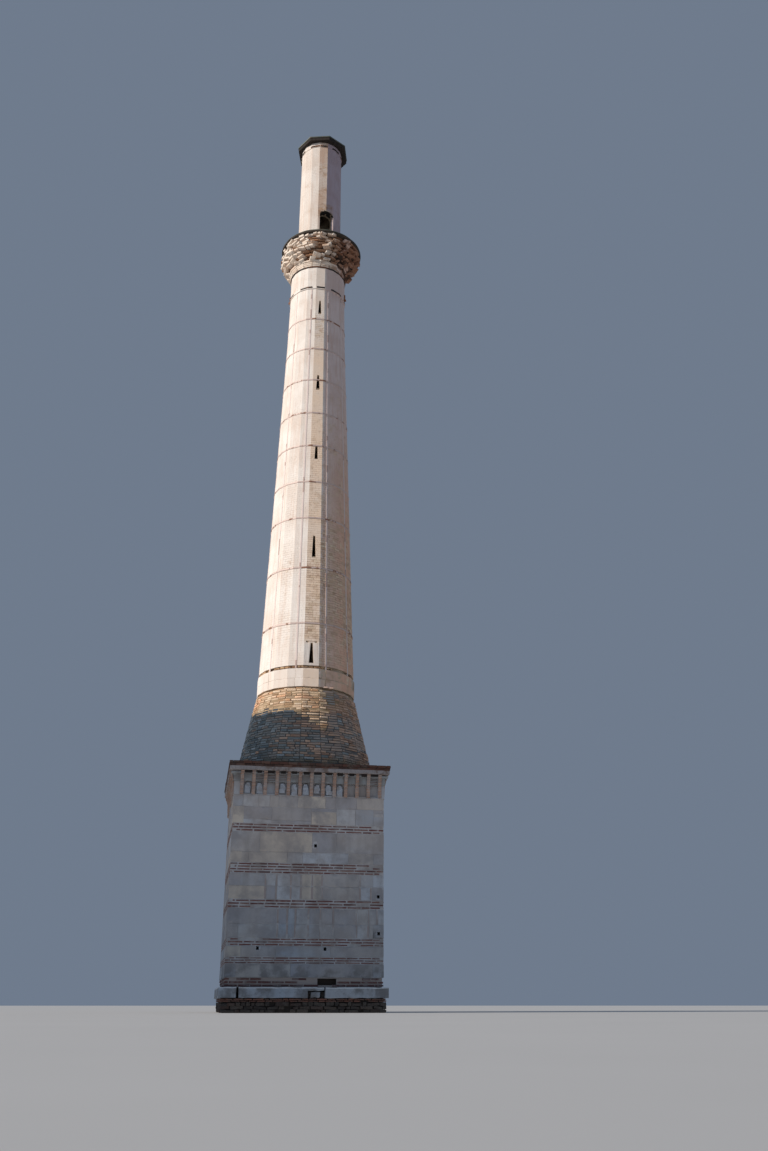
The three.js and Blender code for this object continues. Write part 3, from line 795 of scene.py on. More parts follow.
def core_of(name, nodes, material, inset, square_half=None, well=1.0, above=None, drop=0.0,
            levels=(), span=(-1.0, 99.0)):
    """Mortar behind the bricks: the nodes' own solids with their outer faces drawn in.

    The inset may change with the height, from one level to the next. What lies outside the span of heights
    is cut off, and what lies above a height drops.
    """
    bm = bmesh.new()
    for node in nodes:
        bm.from_mesh(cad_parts[node].data)
    bmesh.ops.remove_doubles(bm, verts=bm.verts, dist=0.00005)
    for level in levels:
        whole = [*bm.verts, *bm.edges, *bm.faces]
        bmesh.ops.bisect_plane(bm, geom=whole, plane_co=(0, 0, level), plane_no=(0, 0, 1))
    for level, side in zip(span, (-1, 1)):
        whole = [*bm.verts, *bm.edges, *bm.faces]
        cut = bmesh.ops.bisect_plane(bm, geom=whole, plane_co=(0, 0, level), plane_no=(0, 0, side),
                                     clear_outer=True)
        rim = [e for e in cut["geom_cut"] if isinstance(e, bmesh.types.BMEdge)]
        if rim:
            bmesh.ops.triangle_fill(bm, edges=rim, use_beauty=True)
    for v in bm.verts:
        depth = inset(v.co.z) if callable(inset) else inset
        reach = math.hypot(v.co.x, v.co.y)
        if square_half is not None:
            limit = square_half - depth
            v.co.x = max(-limit, min(limit, v.co.x))
            v.co.y = max(-limit, min(limit, v.co.y))
        elif reach > well:
            v.co.x *= (reach - depth) / reach
            v.co.y *= (reach - depth) / reach
        if above is not None and v.co.z > above:
            v.co.z -= drop
    bmesh.ops.dissolve_degenerate(bm, dist=0.0001, edges=bm.edges)
    return finish_piece(name, mesh_of(bm, name), material, nodes, 0.5)


# Places on the tower

def directions(angle):
    """The outward and the rightward directions at a plan angle, in degrees from the front."""
    turn = math.radians(angle)
    return np.array([math.sin(turn), -math.cos(turn), 0.0]), np.array([math.cos(turn), math.sin(turn), 0.0])


def on_side(angle, across, reach, z):
    """A place on the side that faces a plan angle: across it, out from the axis and up."""
    out, right = directions(angle)
    return out * reach + right * across + UP * z


def along(profile, z):
    """A radius at a height, between the points of a profile."""
    return np.interp(z, [p[0] for p in profile], [p[1] for p in profile])


def split(length, piece, shift=0.0, unevenness=0.16):
    """Joint places along a run, from 0 to its length, with a shift of the bond and a little unevenness."""
    count = max(1, round(length / piece))
    step = length / count
    joints = [0.0]
    here = step * (shift if shift else 1.0)
    while here < length - step * 0.3:
        joints.append(here + step * unevenness * (rng.random() - 0.5))
        here += step
    joints.append(length)
    return joints


def clear_of(spans, low, high):
    """Cuts spans back from an opening that runs from low to high."""
    kept = []
    for left, right in spans:
        if left < low:
            kept.append((left, min(right, low)))
        if right > high:
            kept.append((max(left, high), right))
    return [(a, b) for a, b in kept if b - a > 0.015]


# The stage and the camera

def make_stage():
    bm = bmesh.new()
    bmesh.ops.create_grid(bm, x_segments=1, y_segments=1, size=400)
    mesh = mesh_of(bm, "studio_floor")
    mesh.materials.append(make_floor())
    floor = bpy.data.objects.new("studio_floor", mesh)
    scene.collection.objects.link(floor)
    key_lit.objects.link(floor)

    world = bpy.data.worlds.new("studio_air")
    world.use_nodes = True
    air = world.node_tree.nodes["Background"]
    air.inputs["Color"].default_value = (0.60, 0.75, 1.0, 1.0)
    air.inputs["Strength"].default_value = 0.265
    scene.world = world

    sun = bpy.data.lights.new("warm_key_light", "SUN")
    sun.energy = 3.75
    sun.angle = math.radians(3)
    sun.color = (1.0, 0.915, 0.825)
    key = bpy.data.objects.new("warm_key_light", sun)
    key.light_linking.receiver_collection = key_lit
    heading, elevation = math.radians(-72.2), math.radians(22)
    towards = Vector((math.sin(heading) * math.cos(elevation), -math.cos(heading) * math.cos(elevation),
                      math.sin(elevation)))
    key.rotation_euler = towards.to_track_quat("Z", "Y").to_euler()
    scene.collection.objects.link(key)

    lens = bpy.data.cameras.new("photo_camera")
    lens.sensor_width = 36
    lens.lens = 36 * FOCAL_PIXELS / PHOTO_HEIGHT
    lens.clip_end = 1000
    camera = bpy.data.objects.new("photo_camera", lens)
    camera.location = CAMERA_PLACE
    camera.rotation_euler = (math.radians(90 + CAMERA_PITCH), 0, math.radians(-CAMERA_HEADING))
    scene.collection.objects.link(camera)
    scene.camera = camera
    scene.view_settings.view_transform = "Standard"


# Footing: irregular stones under two rows of bricks

FOOTING_STONE_ROWS = [(0.010, 0.105), (0.100, 0.195), (0.190, 0.300)]    # bottom and top
FOOTING_BRICK_ROWS = [(0.378, 0.05), (0.328, 0.22)]    # height, and the share of the bricks that is lost


def make_footing():
    core_of("footing_core", ["footing"], FOOTING_MORTAR, 0.09, FOOTING_HALF)
    stones, bricks = Blocks(), Blocks()
    for turn, angle in enumerate(SIDES.values()):
        right = directions(angle)[1]
        for row, (low, high) in enumerate(FOOTING_STONE_ROWS):
            half = FOOTING_HALF if (row + turn) % 2 else FOOTING_HALF - 0.20
            here = -half
            while here < half - 0.06:
                length = min(0.12 + 0.34 * rng.random() ** 1.4, half - here)
                if rng.random() > 0.10:
                    reach = FOOTING_HALF - 0.055 * rng.random() ** 1.5
                    height = (high - low) * (0.72 + 0.34 * rng.random())
                    tilt = right + UP * 0.05 * rng.normal() * (row > 0)
                    middle = on_side(angle, here + length / 2, reach, low + height / 2)
                    size = (length - 0.018, 0.20, height)
                    stones.add(middle, tilt, UP, size, rng.random() * 0.7, rng.random())
                here += length
        for row, (z, share) in enumerate(FOOTING_BRICK_ROWS):
            half = FOOTING_HALF if (row + turn) % 2 else FOOTING_HALF - 0.14
            joints = split(2 * half, 0.27, unevenness=0.5)
            for a, b in pairwise(joints):
                if rng.random() < share:
                    continue
                reach = FOOTING_HALF - 0.012 * row - 0.03 * rng.random()
                middle = on_side(angle, (a + b) / 2 - half, reach, z)
                bricks.add(middle, right + UP * 0.012 * rng.normal(), UP, (b - a - 0.025, 0.14, 0.036),
                           0.80 + 0.2 * rng.random(), 0.8)
    lay("footing_stones", stones, STONE, RUBBLE, "rubble", rough=0.005)
    lay("footing_bricks", bricks, WORN_BRICK, RUBBLE, "rubble", rough=0.003)


# Plinth: long pale slabs, with one broken piece set back in the front

# The front's slabs: left, right, tint
PLINTH_FRONT = [(-PLINTH_HALF, -2.025, 0.30), (-1.985, 0.100, 0.15), (0.606, PLINTH_HALF, 0.22)]
LEDGE = (0.02, 0.594, 0.610)    # what is left of the long block over the patch: its ends and its underside


def make_plinth():
    blocks, patch = Blocks(), Blocks()
    height = PLINTH_TOP - FOOTING_TOP
    for side, angle in SIDES.items():
        right = directions(angle)[1]
        runs = PLINTH_FRONT
        if side != "front":
            half = PLINTH_HALF - (PLINTH_DEPTH if side in ("left", "right") else 0)
            joints = [j - half for j in split(2 * half, 1.45, unevenness=0.5)]
            runs = [(a, b, 0.1 + 0.4 * rng.random()) for a, b in pairwise(joints)]
        for left, far, tint in runs:
            middle = on_side(angle, (left + far) / 2, PLINTH_HALF, FOOTING_TOP + height / 2)
            blocks.add(middle, right, UP, (far - left - 0.014, PLINTH_DEPTH, height), tint, 0.6)
    right = directions(0)[1]
    start, end, under = LEDGE
    ledge = on_side(0, (start + end) / 2, PLINTH_HALF - 0.002, (under + PLINTH_TOP) / 2)
    blocks.add(ledge, right, UP, (end - start, PLINTH_DEPTH, PLINTH_TOP - under - 0.002), 0.15, 0.6)
    broken = on_side(0, 0.33, PLINTH_HALF - 0.07, 0.505)
    blocks.add(broken, right, (0.06, 0, 1), (0.29, 0.4, 0.17), 0.02, 0.6)
    rubble_size = (0.10, 0.3, 0.18)
    patch.add(on_side(0, 0.15, PLINTH_HALF - 0.20, 0.50), right, (-0.1, 0, 1), rubble_size, 0.2)
    patch.add(on_side(0, 0.55, PLINTH_HALF - 0.20, 0.50), right, UP, rubble_size, 0.15)
    parts = ("front_left_block", "front_long_block", "front_right_block", "right_side", "left_side",
             "back_side")
    nodes = [f"plinth_{part}" for part in parts]
    lay("plinth_slabs", blocks, PLINTH_BLOCK, ASHLAR, "ashlar", chip=(0.008, 0.018), rough=0.0015,
        bumps=0.009, bump_size=0.26, worn_edge=0.024, replaces=nodes)
    lay("plinth_patch_stones", patch, STONE, RUBBLE, "rubble", rough=0.006,
        replaces=["plinth_front_patch_block"])


# Base walls: dressed blocks between bands of thin bricks

# Courses of the base, upwards: bottom, top, the front's joints as shares of its width, and its cream blocks
BASE_COURSES = [
    (0.986, 1.365, [0, 0.409, 0.917, 1], []),
    (1.565, 1.872, [0, 0.096, 0.311, 0.657, 1], [0]),
    (4.330, 4.660, [0, 0.115, 0.366, 0.465, 0.765, 1], [1]),
    (4.660, 5.276, [0, 0.183, 0.525, 0.683, 1], [1]),
    (5.533, 6.050, [0, 0.255, 0.515, 0.682, 0.808, 1], [2]),
    (6.050, BASE_TOP, [0, 0.063, 0.163, 0.238, 0.297, 0.423, 0.607, 0.674, 0.816, 1], [5]),
]

# Courses with pink bricks set on end between the blocks: bottom, top, the bricks' places, cream spans
UPRIGHT_COURSES = [
    (2.108, 2.970, [0.318, 0.378, 0.430, 0.512, 0.590, 0.672, 0.822, 0.900, 0.956],
     [(0.0, 0.12)]),
    (3.235, 4.000, [0.232, 0.301, 0.394, 0.459, 0.532, 0.597, 0.842, 0.915],
     [(0.0, 0.151), (0.459, 0.597)]),
]
RETURN = 0.34    # how deep a corner block reaches round the corner
UPRIGHT = 0.055    # how wide a brick set on end is


class WallBlocks:
    """The base's blocks, with the ones that hold a scaffold hole kept apart."""

    def __init__(self):
        self.whole, self.holed = Blocks(), Blocks()

    def add(self, side, low, high, left, right, tint, wear=0.0, joint=0.008):
        angle = SIDES[side]
        size = (right - left - joint, RETURN, high - low - joint)
        if min(size) < 0.012:
            return
        reach = BASE_HALF - 0.006 * rng.random() - 0.004 * wear
        middle = on_side(angle, (left + right) / 2, reach, (low + high) / 2)
        out, across = directions(angle)
        holed = False
        for x, z in PUTLOG_PLACES:
            away = np.array([x, 0.01 - BASE_HALF, z]) - middle
            beside = abs(away @ across) < size[0] / 2 + 0.05 and abs(away[2]) < size[2] / 2 + 0.05
            holed = holed or (beside and -0.02 < -away @ out < RETURN + 0.05)
        (self.holed if holed else self.whole).add(middle, across, UP, size, tint, wear)


def stone_tint(cream):
    if cream:
        return 0.78 + 0.1 * rng.random()
    return rng.choice([0.05, 0.2, 0.3, 0.5, 0.62, 0.7]) + 0.05 * rng.random()


def base_joints(side, shares, piece, half):
    """A course's joints, from the photograph's shares on the front and a like bond on the other sides."""
    if side == "front":
        joints = [-BASE_HALF + share * 2 * BASE_HALF for share in shares]
    else:
        joints = [j - BASE_HALF for j in split(2 * BASE_HALF, piece, unevenness=0.5)]
    inner = [j for j in joints if -half + 0.12 < j < half - 0.12]
    return [-half, *inner, half]


def make_base_walls():
    walls = WallBlocks()
    lay_plain_courses(walls)
    lay_upright_courses(walls)
    nodes = [f"{side}_wall" for side in SIDES]
    core_of("wall_mortar_core", nodes, WALL_MORTAR, lambda z: 0.050 if z < 0.985 else 0.014,
            BASE_HALF, levels=(0.984,))
    style = {"chip": (0.005, 0.008), "rough": 0.0012, "bumps": 0.007, "bump_size": 0.16, "worn_edge": 0.008}
    lay("wall_blocks", walls.whole, DRESSED_BLOCK, ASHLAR, "ashlar", **style)
    holed = lay("wall_blocks_with_scaffold_holes", walls.holed, DRESSED_BLOCK, ASHLAR, "ashlar", **style)
    cut_scaffold_holes(holed)
    make_brick_bands()


def lay_plain_courses(walls):
    """Courses of blocks, some of them with a thin strip of stone under or over a block."""
    for row, (low, high, shares, creams) in enumerate(BASE_COURSES):
        for turn, side in enumerate(SIDES):
            half = BASE_HALF if (row + turn) % 2 else BASE_HALF - RETURN
            joints = base_joints(side, shares, 1.0, half)
            for i, (left, right) in enumerate(pairwise(joints)):
                cream = i in creams if side == "front" else rng.random() < 0.15
                tint = stone_tint(cream)
                top, bottom = high, low
                if high - low > 0.5 and rng.random() < 0.3:
                    strip = 0.09 + 0.05 * rng.random()
                    if rng.random() < 0.5:
                        walls.add(side, high - strip, high, left, right, stone_tint(False))
                        top = high - strip
                    else:
                        walls.add(side, low, low + strip, left, right, stone_tint(False))
                        bottom = low + strip
                walls.add(side, bottom, top, left, right, tint)


def lay_upright_courses(walls):
    """Tall courses in two layers of blocks, with pink bricks set on end between them."""
    for row, (low, high, shares, creams) in enumerate(UPRIGHT_COURSES):
        level = low + (high - low) * (0.52 if row else 0.47)
        for turn, side in enumerate(SIDES):
            for part, (bottom, top) in enumerate([(low, level), (level, high)]):
                half = BASE_HALF if (row + turn + part) % 2 else BASE_HALF - RETURN
                joints = base_joints(side, [0, *shares, 1], 0.44, half)
                for left, right in pairwise(joints):
                    share = ((left + right) / 2 + BASE_HALF) / (2 * BASE_HALF)
                    if side == "front":
                        cream = any(a < share < b for a, b in creams)
                    else:
                        cream = rng.random() < 0.15
                    start = left + UPRIGHT / 2 * (left > -half)
                    end = right - UPRIGHT / 2 * (right < half)
                    walls.add(side, bottom, top, start, end, stone_tint(cream))
                    if right < half:
                        width = UPRIGHT * (0.8 + 0.5 * rng.random())
                        middle = right + 0.02 * (rng.random() - 0.5)
                        walls.add(side, bottom + 0.01, top - 0.01, middle - width / 2, middle + width / 2,
                                  rng.random(), 1.0, 0.012)


def cut_scaffold_holes(piece):
    """Cuts the square holes, which are open to the front, with a boolean that is applied here."""
    bm = bmesh.new()
    width, depth, height = PUTLOG_SIZE
    size = Matrix.Diagonal((width, 2 * depth, height, 1))
    for x, z in PUTLOG_PLACES:
        bmesh.ops.create_cube(bm, size=1.0, matrix=Matrix.Translation((x, -BASE_HALF, z)) @ size)
    cutter = bpy.data.objects.new("scaffold_hole_cutter", mesh_of(bm, "scaffold_hole_cutter"))
    scene.collection.objects.link(cutter)
    cut = piece.modifiers.new("scaffold_holes", "BOOLEAN")
    cut.object = cutter
    cut.solver = "EXACT"
    cut.use_self = True
    bpy.context.view_layer.update()
    made = bpy.data.meshes.new_from_object(piece.evaluated_get(bpy.context.evaluated_depsgraph_get()))
    piece.modifiers.clear()
    piece.data = made
    bpy.data.objects.remove(cutter)


def make_brick_bands():
    bricks, hollow = Blocks(), Blocks()
    hole_left, hole_right, hole_low, hole_high = ERODED_HOLE
    for band, (low, high, rows) in enumerate(BRICK_BANDS):
        pitch = (high - low) / rows
        ragged = band == 0
        for row in range(rows):
            z = low + pitch * (row + 0.5)
            for turn, (side, angle) in enumerate(SIDES.items()):
                half = BASE_HALF if (row + turn) % 2 else BASE_HALF - 0.12
                joints = split(2 * half, 0.42, 0.5 * rng.random() + 0.25, 0.35)
                for a, b in pairwise(joints):
                    left, right = a - half, b - half
                    middle = (left + right) / 2
                    hollowed = side == "front" and ragged and z > hole_low
                    hollowed = hollowed and left < hole_right and right > hole_left
                    if hollowed or rng.random() < (0.18 if ragged else 0.05):
                        continue
                    height = pitch * (0.42 + 0.12 * rng.random() + 0.16 * ragged * rng.random())
                    reach = BASE_HALF - 0.003 - 0.006 * rng.random() - 0.034 * ragged * rng.random()
                    gap = 0.022 + 0.03 * rng.random()
                    tilt = 0.004 * (rng.random() - 0.5) * (3 if ragged else 1)
                    across = directions(angle)[1] + UP * tilt
                    place = on_side(angle, middle, reach, z + 0.004 * (rng.random() - 0.5))
                    tint = 0.35 + 0.3 * rng.random() if ragged else rng.random()
                    bricks.add(place, across, UP, (right - left - gap, 0.12, height), tint, 0.5)
    # A black block at the back of the hollow: painted shade.
    place = on_side(0, (hole_left + hole_right) / 2, BASE_HALF - 0.15, (hole_low + hole_high) / 2)
    size = (hole_right - hole_left - 0.004, 0.05, hole_high - hole_low - 0.004)
    hollow.add(place, directions(0)[1], UP, size)
    lay("wall_brick_bands", bricks, PLAIN_BRICK, BAND_BRICK, "ashlar", rough=0.0018)
    lay("eroded_hollow_painted_shade", hollow, PLAIN_BRICK, BLACK_FILL, "ashlar", rough=0)


# Frieze: brick ribs and arch rings over the plastered niches

RIB_COUNT = 13
RIB_PITCH = 0.372
RIB_SHIFT = 0.045
RIB_WIDTH = 0.102
# The slots' backs are black blocks: painted shade.
CORNICE_FOOT = 7.205    # the pale course's own underside, over dark slots between the rib heads
RIB_PROFILE = [(BASE_TOP, 2.462), (6.857, 2.482), (7.088, 2.548)]
RIB_COURSES = np.arange(6.447, CORNICE_FOOT - 0.02, 0.0505)    # the heights of a rib's bricks
HEAD_COURSES = np.arange(6.89, 7.06, 0.052)    # the heights of the bricks that fill some niches' heads
ARCH_RADIUS = 0.125
ARCH_SPRING = 6.732
ARCH_STONES = 7
# How far out the frieze's faces lie: the plaster, the slots over the ribs, the arches, the bricks that fill
# some niches' heads, and the black blocks of painted shade between the ribs' heads
PLASTER_FACE, SLOT_FACE, ARCH_FACE, FILL_FACE, DARK_FACE = 2.424, 2.430, 2.436, 2.456, 2.554
DARK_HEIGHT = 7.148
# What is left of the pale plaster in a niche, narrowing into its arch: bottom, top, width
PANEL_STEPS = [(6.44, 6.62, 0.21), (6.62, 6.70, 0.20), (6.70, 6.76, 0.17), (6.76, 6.80, 0.12)]


def make_frieze():
    ribs, rings, heads, panels = Blocks(), Blocks(), Blocks(), Blocks()
    for angle in SIDES.values():
        out, right = directions(angle)
        for rib in range(RIB_COUNT):
            lay_rib(ribs, out, right, (rib - (RIB_COUNT - 1) / 2) * RIB_PITCH + RIB_SHIFT)
        # A black block at the back of each side's slot under the cornice: painted shade.
        heads.add(out * SLOT_FACE + UP * (FRIEZE_TOP + CORNICE_FOOT) / 2, right, UP,
                  (2 * SLOT_FACE, 0.2, CORNICE_FOOT - FRIEZE_TOP + 0.01), 0.3)
        for bay in range(RIB_COUNT - 1):
            from_middle = bay - (RIB_COUNT - 2) / 2
            middle = from_middle * RIB_PITCH + RIB_SHIFT
            if abs(from_middle) < 3 or rng.random() < 0.3:
                lay_plaster(panels, out, right, middle)
            # A black block between each pair of rib heads: painted shade.
            reach = DARK_FACE + 0.004 * rng.random()
            place = out * reach + right * (middle + 0.02 * rng.normal()) + UP * DARK_HEIGHT
            heads.add(place, right, UP, (0.15 + 0.10 * rng.random(), 0.10, 0.085 + 0.03 * rng.random()),
                      rng.random())
            lay_arch(rings, out, right, middle)
    for side in SIDES:
        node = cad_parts[f"{side}_frieze"]
        node.data.materials.clear()
        node.data.materials.append(NICHE_PLASTER)
    lay("frieze_rib_bricks", ribs, PLAIN_BRICK, FRIEZE_BRICK, "frieze_brick", rough=0.001)
    lay("frieze_arch_bricks", rings, PLAIN_BRICK, ARCH_BRICK, "frieze_brick", rough=0.001)
    lay("frieze_painted_shade_blocks", heads, WORN_BRICK, BLACK_FILL, "frieze_brick", rough=0.002)
    lay("frieze_plaster_panels", panels, WORN_BRICK, PANEL_PLASTER, "frieze_brick", rough=0.002)


def lay_rib(ribs, out, right, x):
    """One rib of single bricks, which leans out towards its head."""
    for z in RIB_COURSES:
        lean = (along(RIB_PROFILE, z + 0.02) - along(RIB_PROFILE, z - 0.02)) / 0.04
        reach = along(RIB_PROFILE, z) + 0.004 + 0.004 * rng.random() + 0.012 * (z > 7.08)
        width = RIB_WIDTH + 0.004 + 0.006 * rng.random()
        ribs.add(out * reach + right * (x + 0.003 * rng.normal()) + UP * z, right, UP + out * lean,
                 (width, 0.05, 0.040), rng.random(), 0.4)


def lay_plaster(panels, out, right, middle):
    """The pale plaster left in a niche."""
    start = 0.10 * rng.random()
    for low, high, width in PANEL_STEPS:
        low = max(low, PANEL_STEPS[0][0] + start)
        place = out * PLASTER_FACE + right * (middle + 0.012 * rng.normal()) + UP * (low + high) / 2
        size = (width * (0.85 + 0.15 * rng.random()), 0.06, high - low + 0.002)
        panels.add(place, right, UP, size, rng.random())


def lay_arch(rings, out, right, middle):
    """A ring of small bricks over a niche, some with courses above it."""
    for step in range(ARCH_STONES):
        turn = math.pi * (step + 0.5) / ARCH_STONES
        radial = right * math.cos(turn) + UP * math.sin(turn)
        tangent = right * math.sin(turn) - UP * math.cos(turn)
        place = out * ARCH_FACE + right * middle + UP * ARCH_SPRING + radial * (ARCH_RADIUS + 0.014)
        rings.add(place, tangent, radial, (0.052, 0.07, 0.030), rng.random(), 0.5)
    if rng.random() < 0.25:
        for z in HEAD_COURSES:
            place = out * FILL_FACE + right * middle + UP * z
            rings.add(place, right, UP, (0.23, 0.05, 0.030), rng.random(), 0.5)


# Cornice and tiles over the base

CORNICE_MIDDLE = 7.258
TILE_ROWS = [(7.316, 7.388), (7.396, 7.474)]    # bottom and top
TILE = 0.30


def make_cornice():
    core_of("cornice_core", ["cornice_band"], CORNICE_STONE,
            lambda z: 0.008 if z > 7.2 else 0.17, CORNICE_HALF,
            levels=(CORNICE_FOOT - 0.002, CORNICE_FOOT + 0.002))
    core_of("tile_bed", ["tile_course"], ROUGH_MORTAR, 0.065, TILES_HALF, above=7.4, drop=0.012)
    stones, tiles = Blocks(), Blocks()
    for turn, angle in enumerate(SIDES.values()):
        out, right = directions(angle)
        half = CORNICE_HALF if turn % 2 else CORNICE_HALF - 0.12
        joints = split(2 * half, 0.62, unevenness=0.5)
        for a, b in pairwise(joints):
            place = on_side(angle, (a + b) / 2 - half, CORNICE_HALF - 0.006 * rng.random(), CORNICE_MIDDLE)
            stones.add(place, right, UP, (b - a - 0.006, 0.15, 0.104), rng.random(), 0.4)
        for row, (low, high) in enumerate(TILE_ROWS):
            half = TILES_HALF if (turn + row) % 2 else TILES_HALF - 0.2
            joints = split(2 * half, TILE, 0.5 if row else 0.0, 0.15)
            for a, b in pairwise(joints):
                reach = TILES_HALF - 0.022 * (1 - row) - 0.014 * rng.random()
                place = on_side(angle, (a + b) / 2 - half, reach, (low + high) / 2 - 0.003 * rng.random())
                tiles.add(place, right, UP, (b - a - 0.012, 0.2, high - low), rng.random(), 0.7)
        for row in range(2):
            near = TILES_HALF - 0.2 - 0.20 * row
            half = near if turn % 2 else near - 0.2
            joints = split(2 * half, TILE, 0.5 if row else 0.0, 0.15)
            for a, b in pairwise(joints):
                top = TILES_TOP - 0.003 - 0.003 * rng.random()
                place = on_side(angle, (a + b) / 2 - half, near - 0.1, top)
                tiles.add(place, right, -out, (b - a - 0.012, 0.05, 0.19), rng.random(), 0.7)
    lay("cornice_stones", stones, DRESSED_BLOCK, CORNICE_STONE, "lime_wash", rough=0.001, bumps=0.005,
        worn_edge=0.012)
    lay("tile_rows", tiles, WORN_BRICK, RED_TILE, "red_tile", rough=0.002)


# Transition: rough bricks from the square base to the many-sided foot ring

def transition_corner(index, z):
    """The plan point of one of the transition's arrises at a height."""
    turn = math.radians(FACET / 2 + FACET * index)
    out = np.array([math.sin(turn), -math.cos(turn)])
    foot = min(TRANSITION_HALF / np.abs(out).max(), TRANSITION_CORNER)
    share = np.maximum(0, (TRANSITION_TOP - z) / (TRANSITION_TOP - TILES_TOP))
    radius = foot + (FOOT_RING_RADIUS - foot) * (1 - share ** TRANSITION_HOLLOWING)
    return out * radius


def transition_point(angle, z):
    """Where the ray at a plan angle meets the transition's outline at a height."""
    index = math.floor((angle - FACET / 2) / FACET)
    first, second = transition_corner(index, z), transition_corner(index + 1, z)
    turn = math.radians(angle)
    ray = np.array([math.sin(turn), -math.cos(turn)])
    edge = second - first
    reach = (first[0] * edge[1] - first[1] * edge[0]) / (ray[0] * edge[1] - ray[1] * edge[0])
    return np.array([*(ray * reach), z])


# Where the light begins on the transition: plan angle and height. It does not reach the right and the back.
LIGHT_EDGE = [(-150, 99.0), (-148, 9.6), (-80, 9.50), (-45, 9.52), (-20, 9.42), (-5, 9.2), (5, 8.95),
              (12.0, 8.8), (16.5, 9.3), (17.5, 99.0)]
ROUGH_ROWS = 32
ROUGH_BRICK_LENGTH = 0.26


def rough_joints(size):
    """The joints round one row as plan angles, for bricks of an angular size that meet on every arris."""
    angles = [FACET / 2]
    while angles[-1] < 360 + FACET / 2 - 0.01:
        passed = math.floor((angles[-1] - FACET / 2 + 0.01) / FACET + 1)
        arris = FACET / 2 + FACET * passed
        following = angles[-1] + size * (0.55 + 0.9 * rng.random())
        angles.append(arris if arris - following < size * 0.5 else following)
    return angles


def lay_rough_brick(shaded, lit, a, b, z, row):
    """One brick between two plan angles, with its tint from where the light begins."""
    pitch = (TRANSITION_TOP - TILES_TOP) / ROUGH_ROWS
    wave = 0.010 * math.sin(math.radians(a * 3 + row * 40))
    first, second = transition_point(a, z + wave), transition_point(b, z + wave)
    middle = (a + b) / 2
    if row == ROUGH_ROWS - 1 and 14 < middle < 27:
        return
    up = transition_point(middle, z + 0.05) - transition_point(middle, z - 0.05)
    right = second - first
    length = np.linalg.norm(right)
    right = right / length
    up = up - right * (up @ right)
    out = np.cross(right, up / np.linalg.norm(up))
    place = (first + second) / 2
    worn = 0.5 + 0.5 * float(drift(place, 0.6, 31))
    back = 0.026 * rng.random() * (0.4 + worn) - 0.010 + 0.024 * (rng.random() < 0.10)
    if row == ROUGH_ROWS - 1:
        back += 0.05
    joint = 0.016 + 0.022 * rng.random()
    turned = (middle + 180) % 360 - 180
    edge = np.interp(turned, [p[0] for p in LIGHT_EDGE], [p[1] for p in LIGHT_EDGE])
    if z > edge + 0.14 * float(drift(place, 0.5, 32)):
        # Near where the light begins the bricks take the darker tones: painted shade at the light's edge.
        dusk = np.clip(1 - (z - edge) / 0.65, 0, 1)
        bricks = lit
        tint = min(1.0, 0.78 * rng.random() * (1 - dusk) + (0.70 + 0.3 * rng.random()) * dusk)
    else:
        # In the shade the left takes the cool blue-grey tones, which are painted shade, and the right the
        # brown ones.
        bricks = shaded
        tint = np.clip(0.54 + 0.42 * math.sin(math.radians(turned)) + 0.22 * rng.normal(), 0, 1)
    bricks.add(place - out * max(back, -0.010), right + UP * 0.025 * rng.normal(), up,
               (length - joint, 0.11, pitch - joint * 0.95), tint, 0.4 + 0.6 * worn)


def make_transition():
    shaded, lit = Blocks(), Blocks()
    pitch = (TRANSITION_TOP - TILES_TOP) / ROUGH_ROWS
    for row in range(ROUGH_ROWS):
        z = TILES_TOP + pitch * (row + 0.5)
        size = math.degrees(ROUGH_BRICK_LENGTH / np.linalg.norm(transition_corner(2, z)))
        angles = rough_joints(size)
        for a, b in pairwise(angles):
            if b - a >= size * 0.15:
                lay_rough_brick(shaded, lit, a, b, z, row)
    nodes = [f"{side}_transition" for side in SIDES]
    core_of("transition_mortar_lower", nodes, ROUGH_MORTAR, 0.034, span=(-1.0, SHADE_TOP))
    core_of("transition_mortar_upper", nodes, SUNNY_MORTAR,
            lambda z: 0.030 if z < TRANSITION_TOP - 0.06 else 0.10, span=(SHADE_TOP, 99.0),
            levels=(TRANSITION_TOP - 0.08, TRANSITION_TOP - 0.05))
    style = {"chip": (0.006, 0.016), "rough": 0.005}
    lower = lay("transition_bricks_lower", shaded, PLAIN_BRICK, SHADE_TINTED_BRICK, "rough_brick", **style)
    key_lit.objects.unlink(lower)
    lay("transition_bricks_upper", lit, PLAIN_BRICK, SUNNY_BRICK, "rough_brick", **style)


# Shaft: facets of brick under worn lime wash

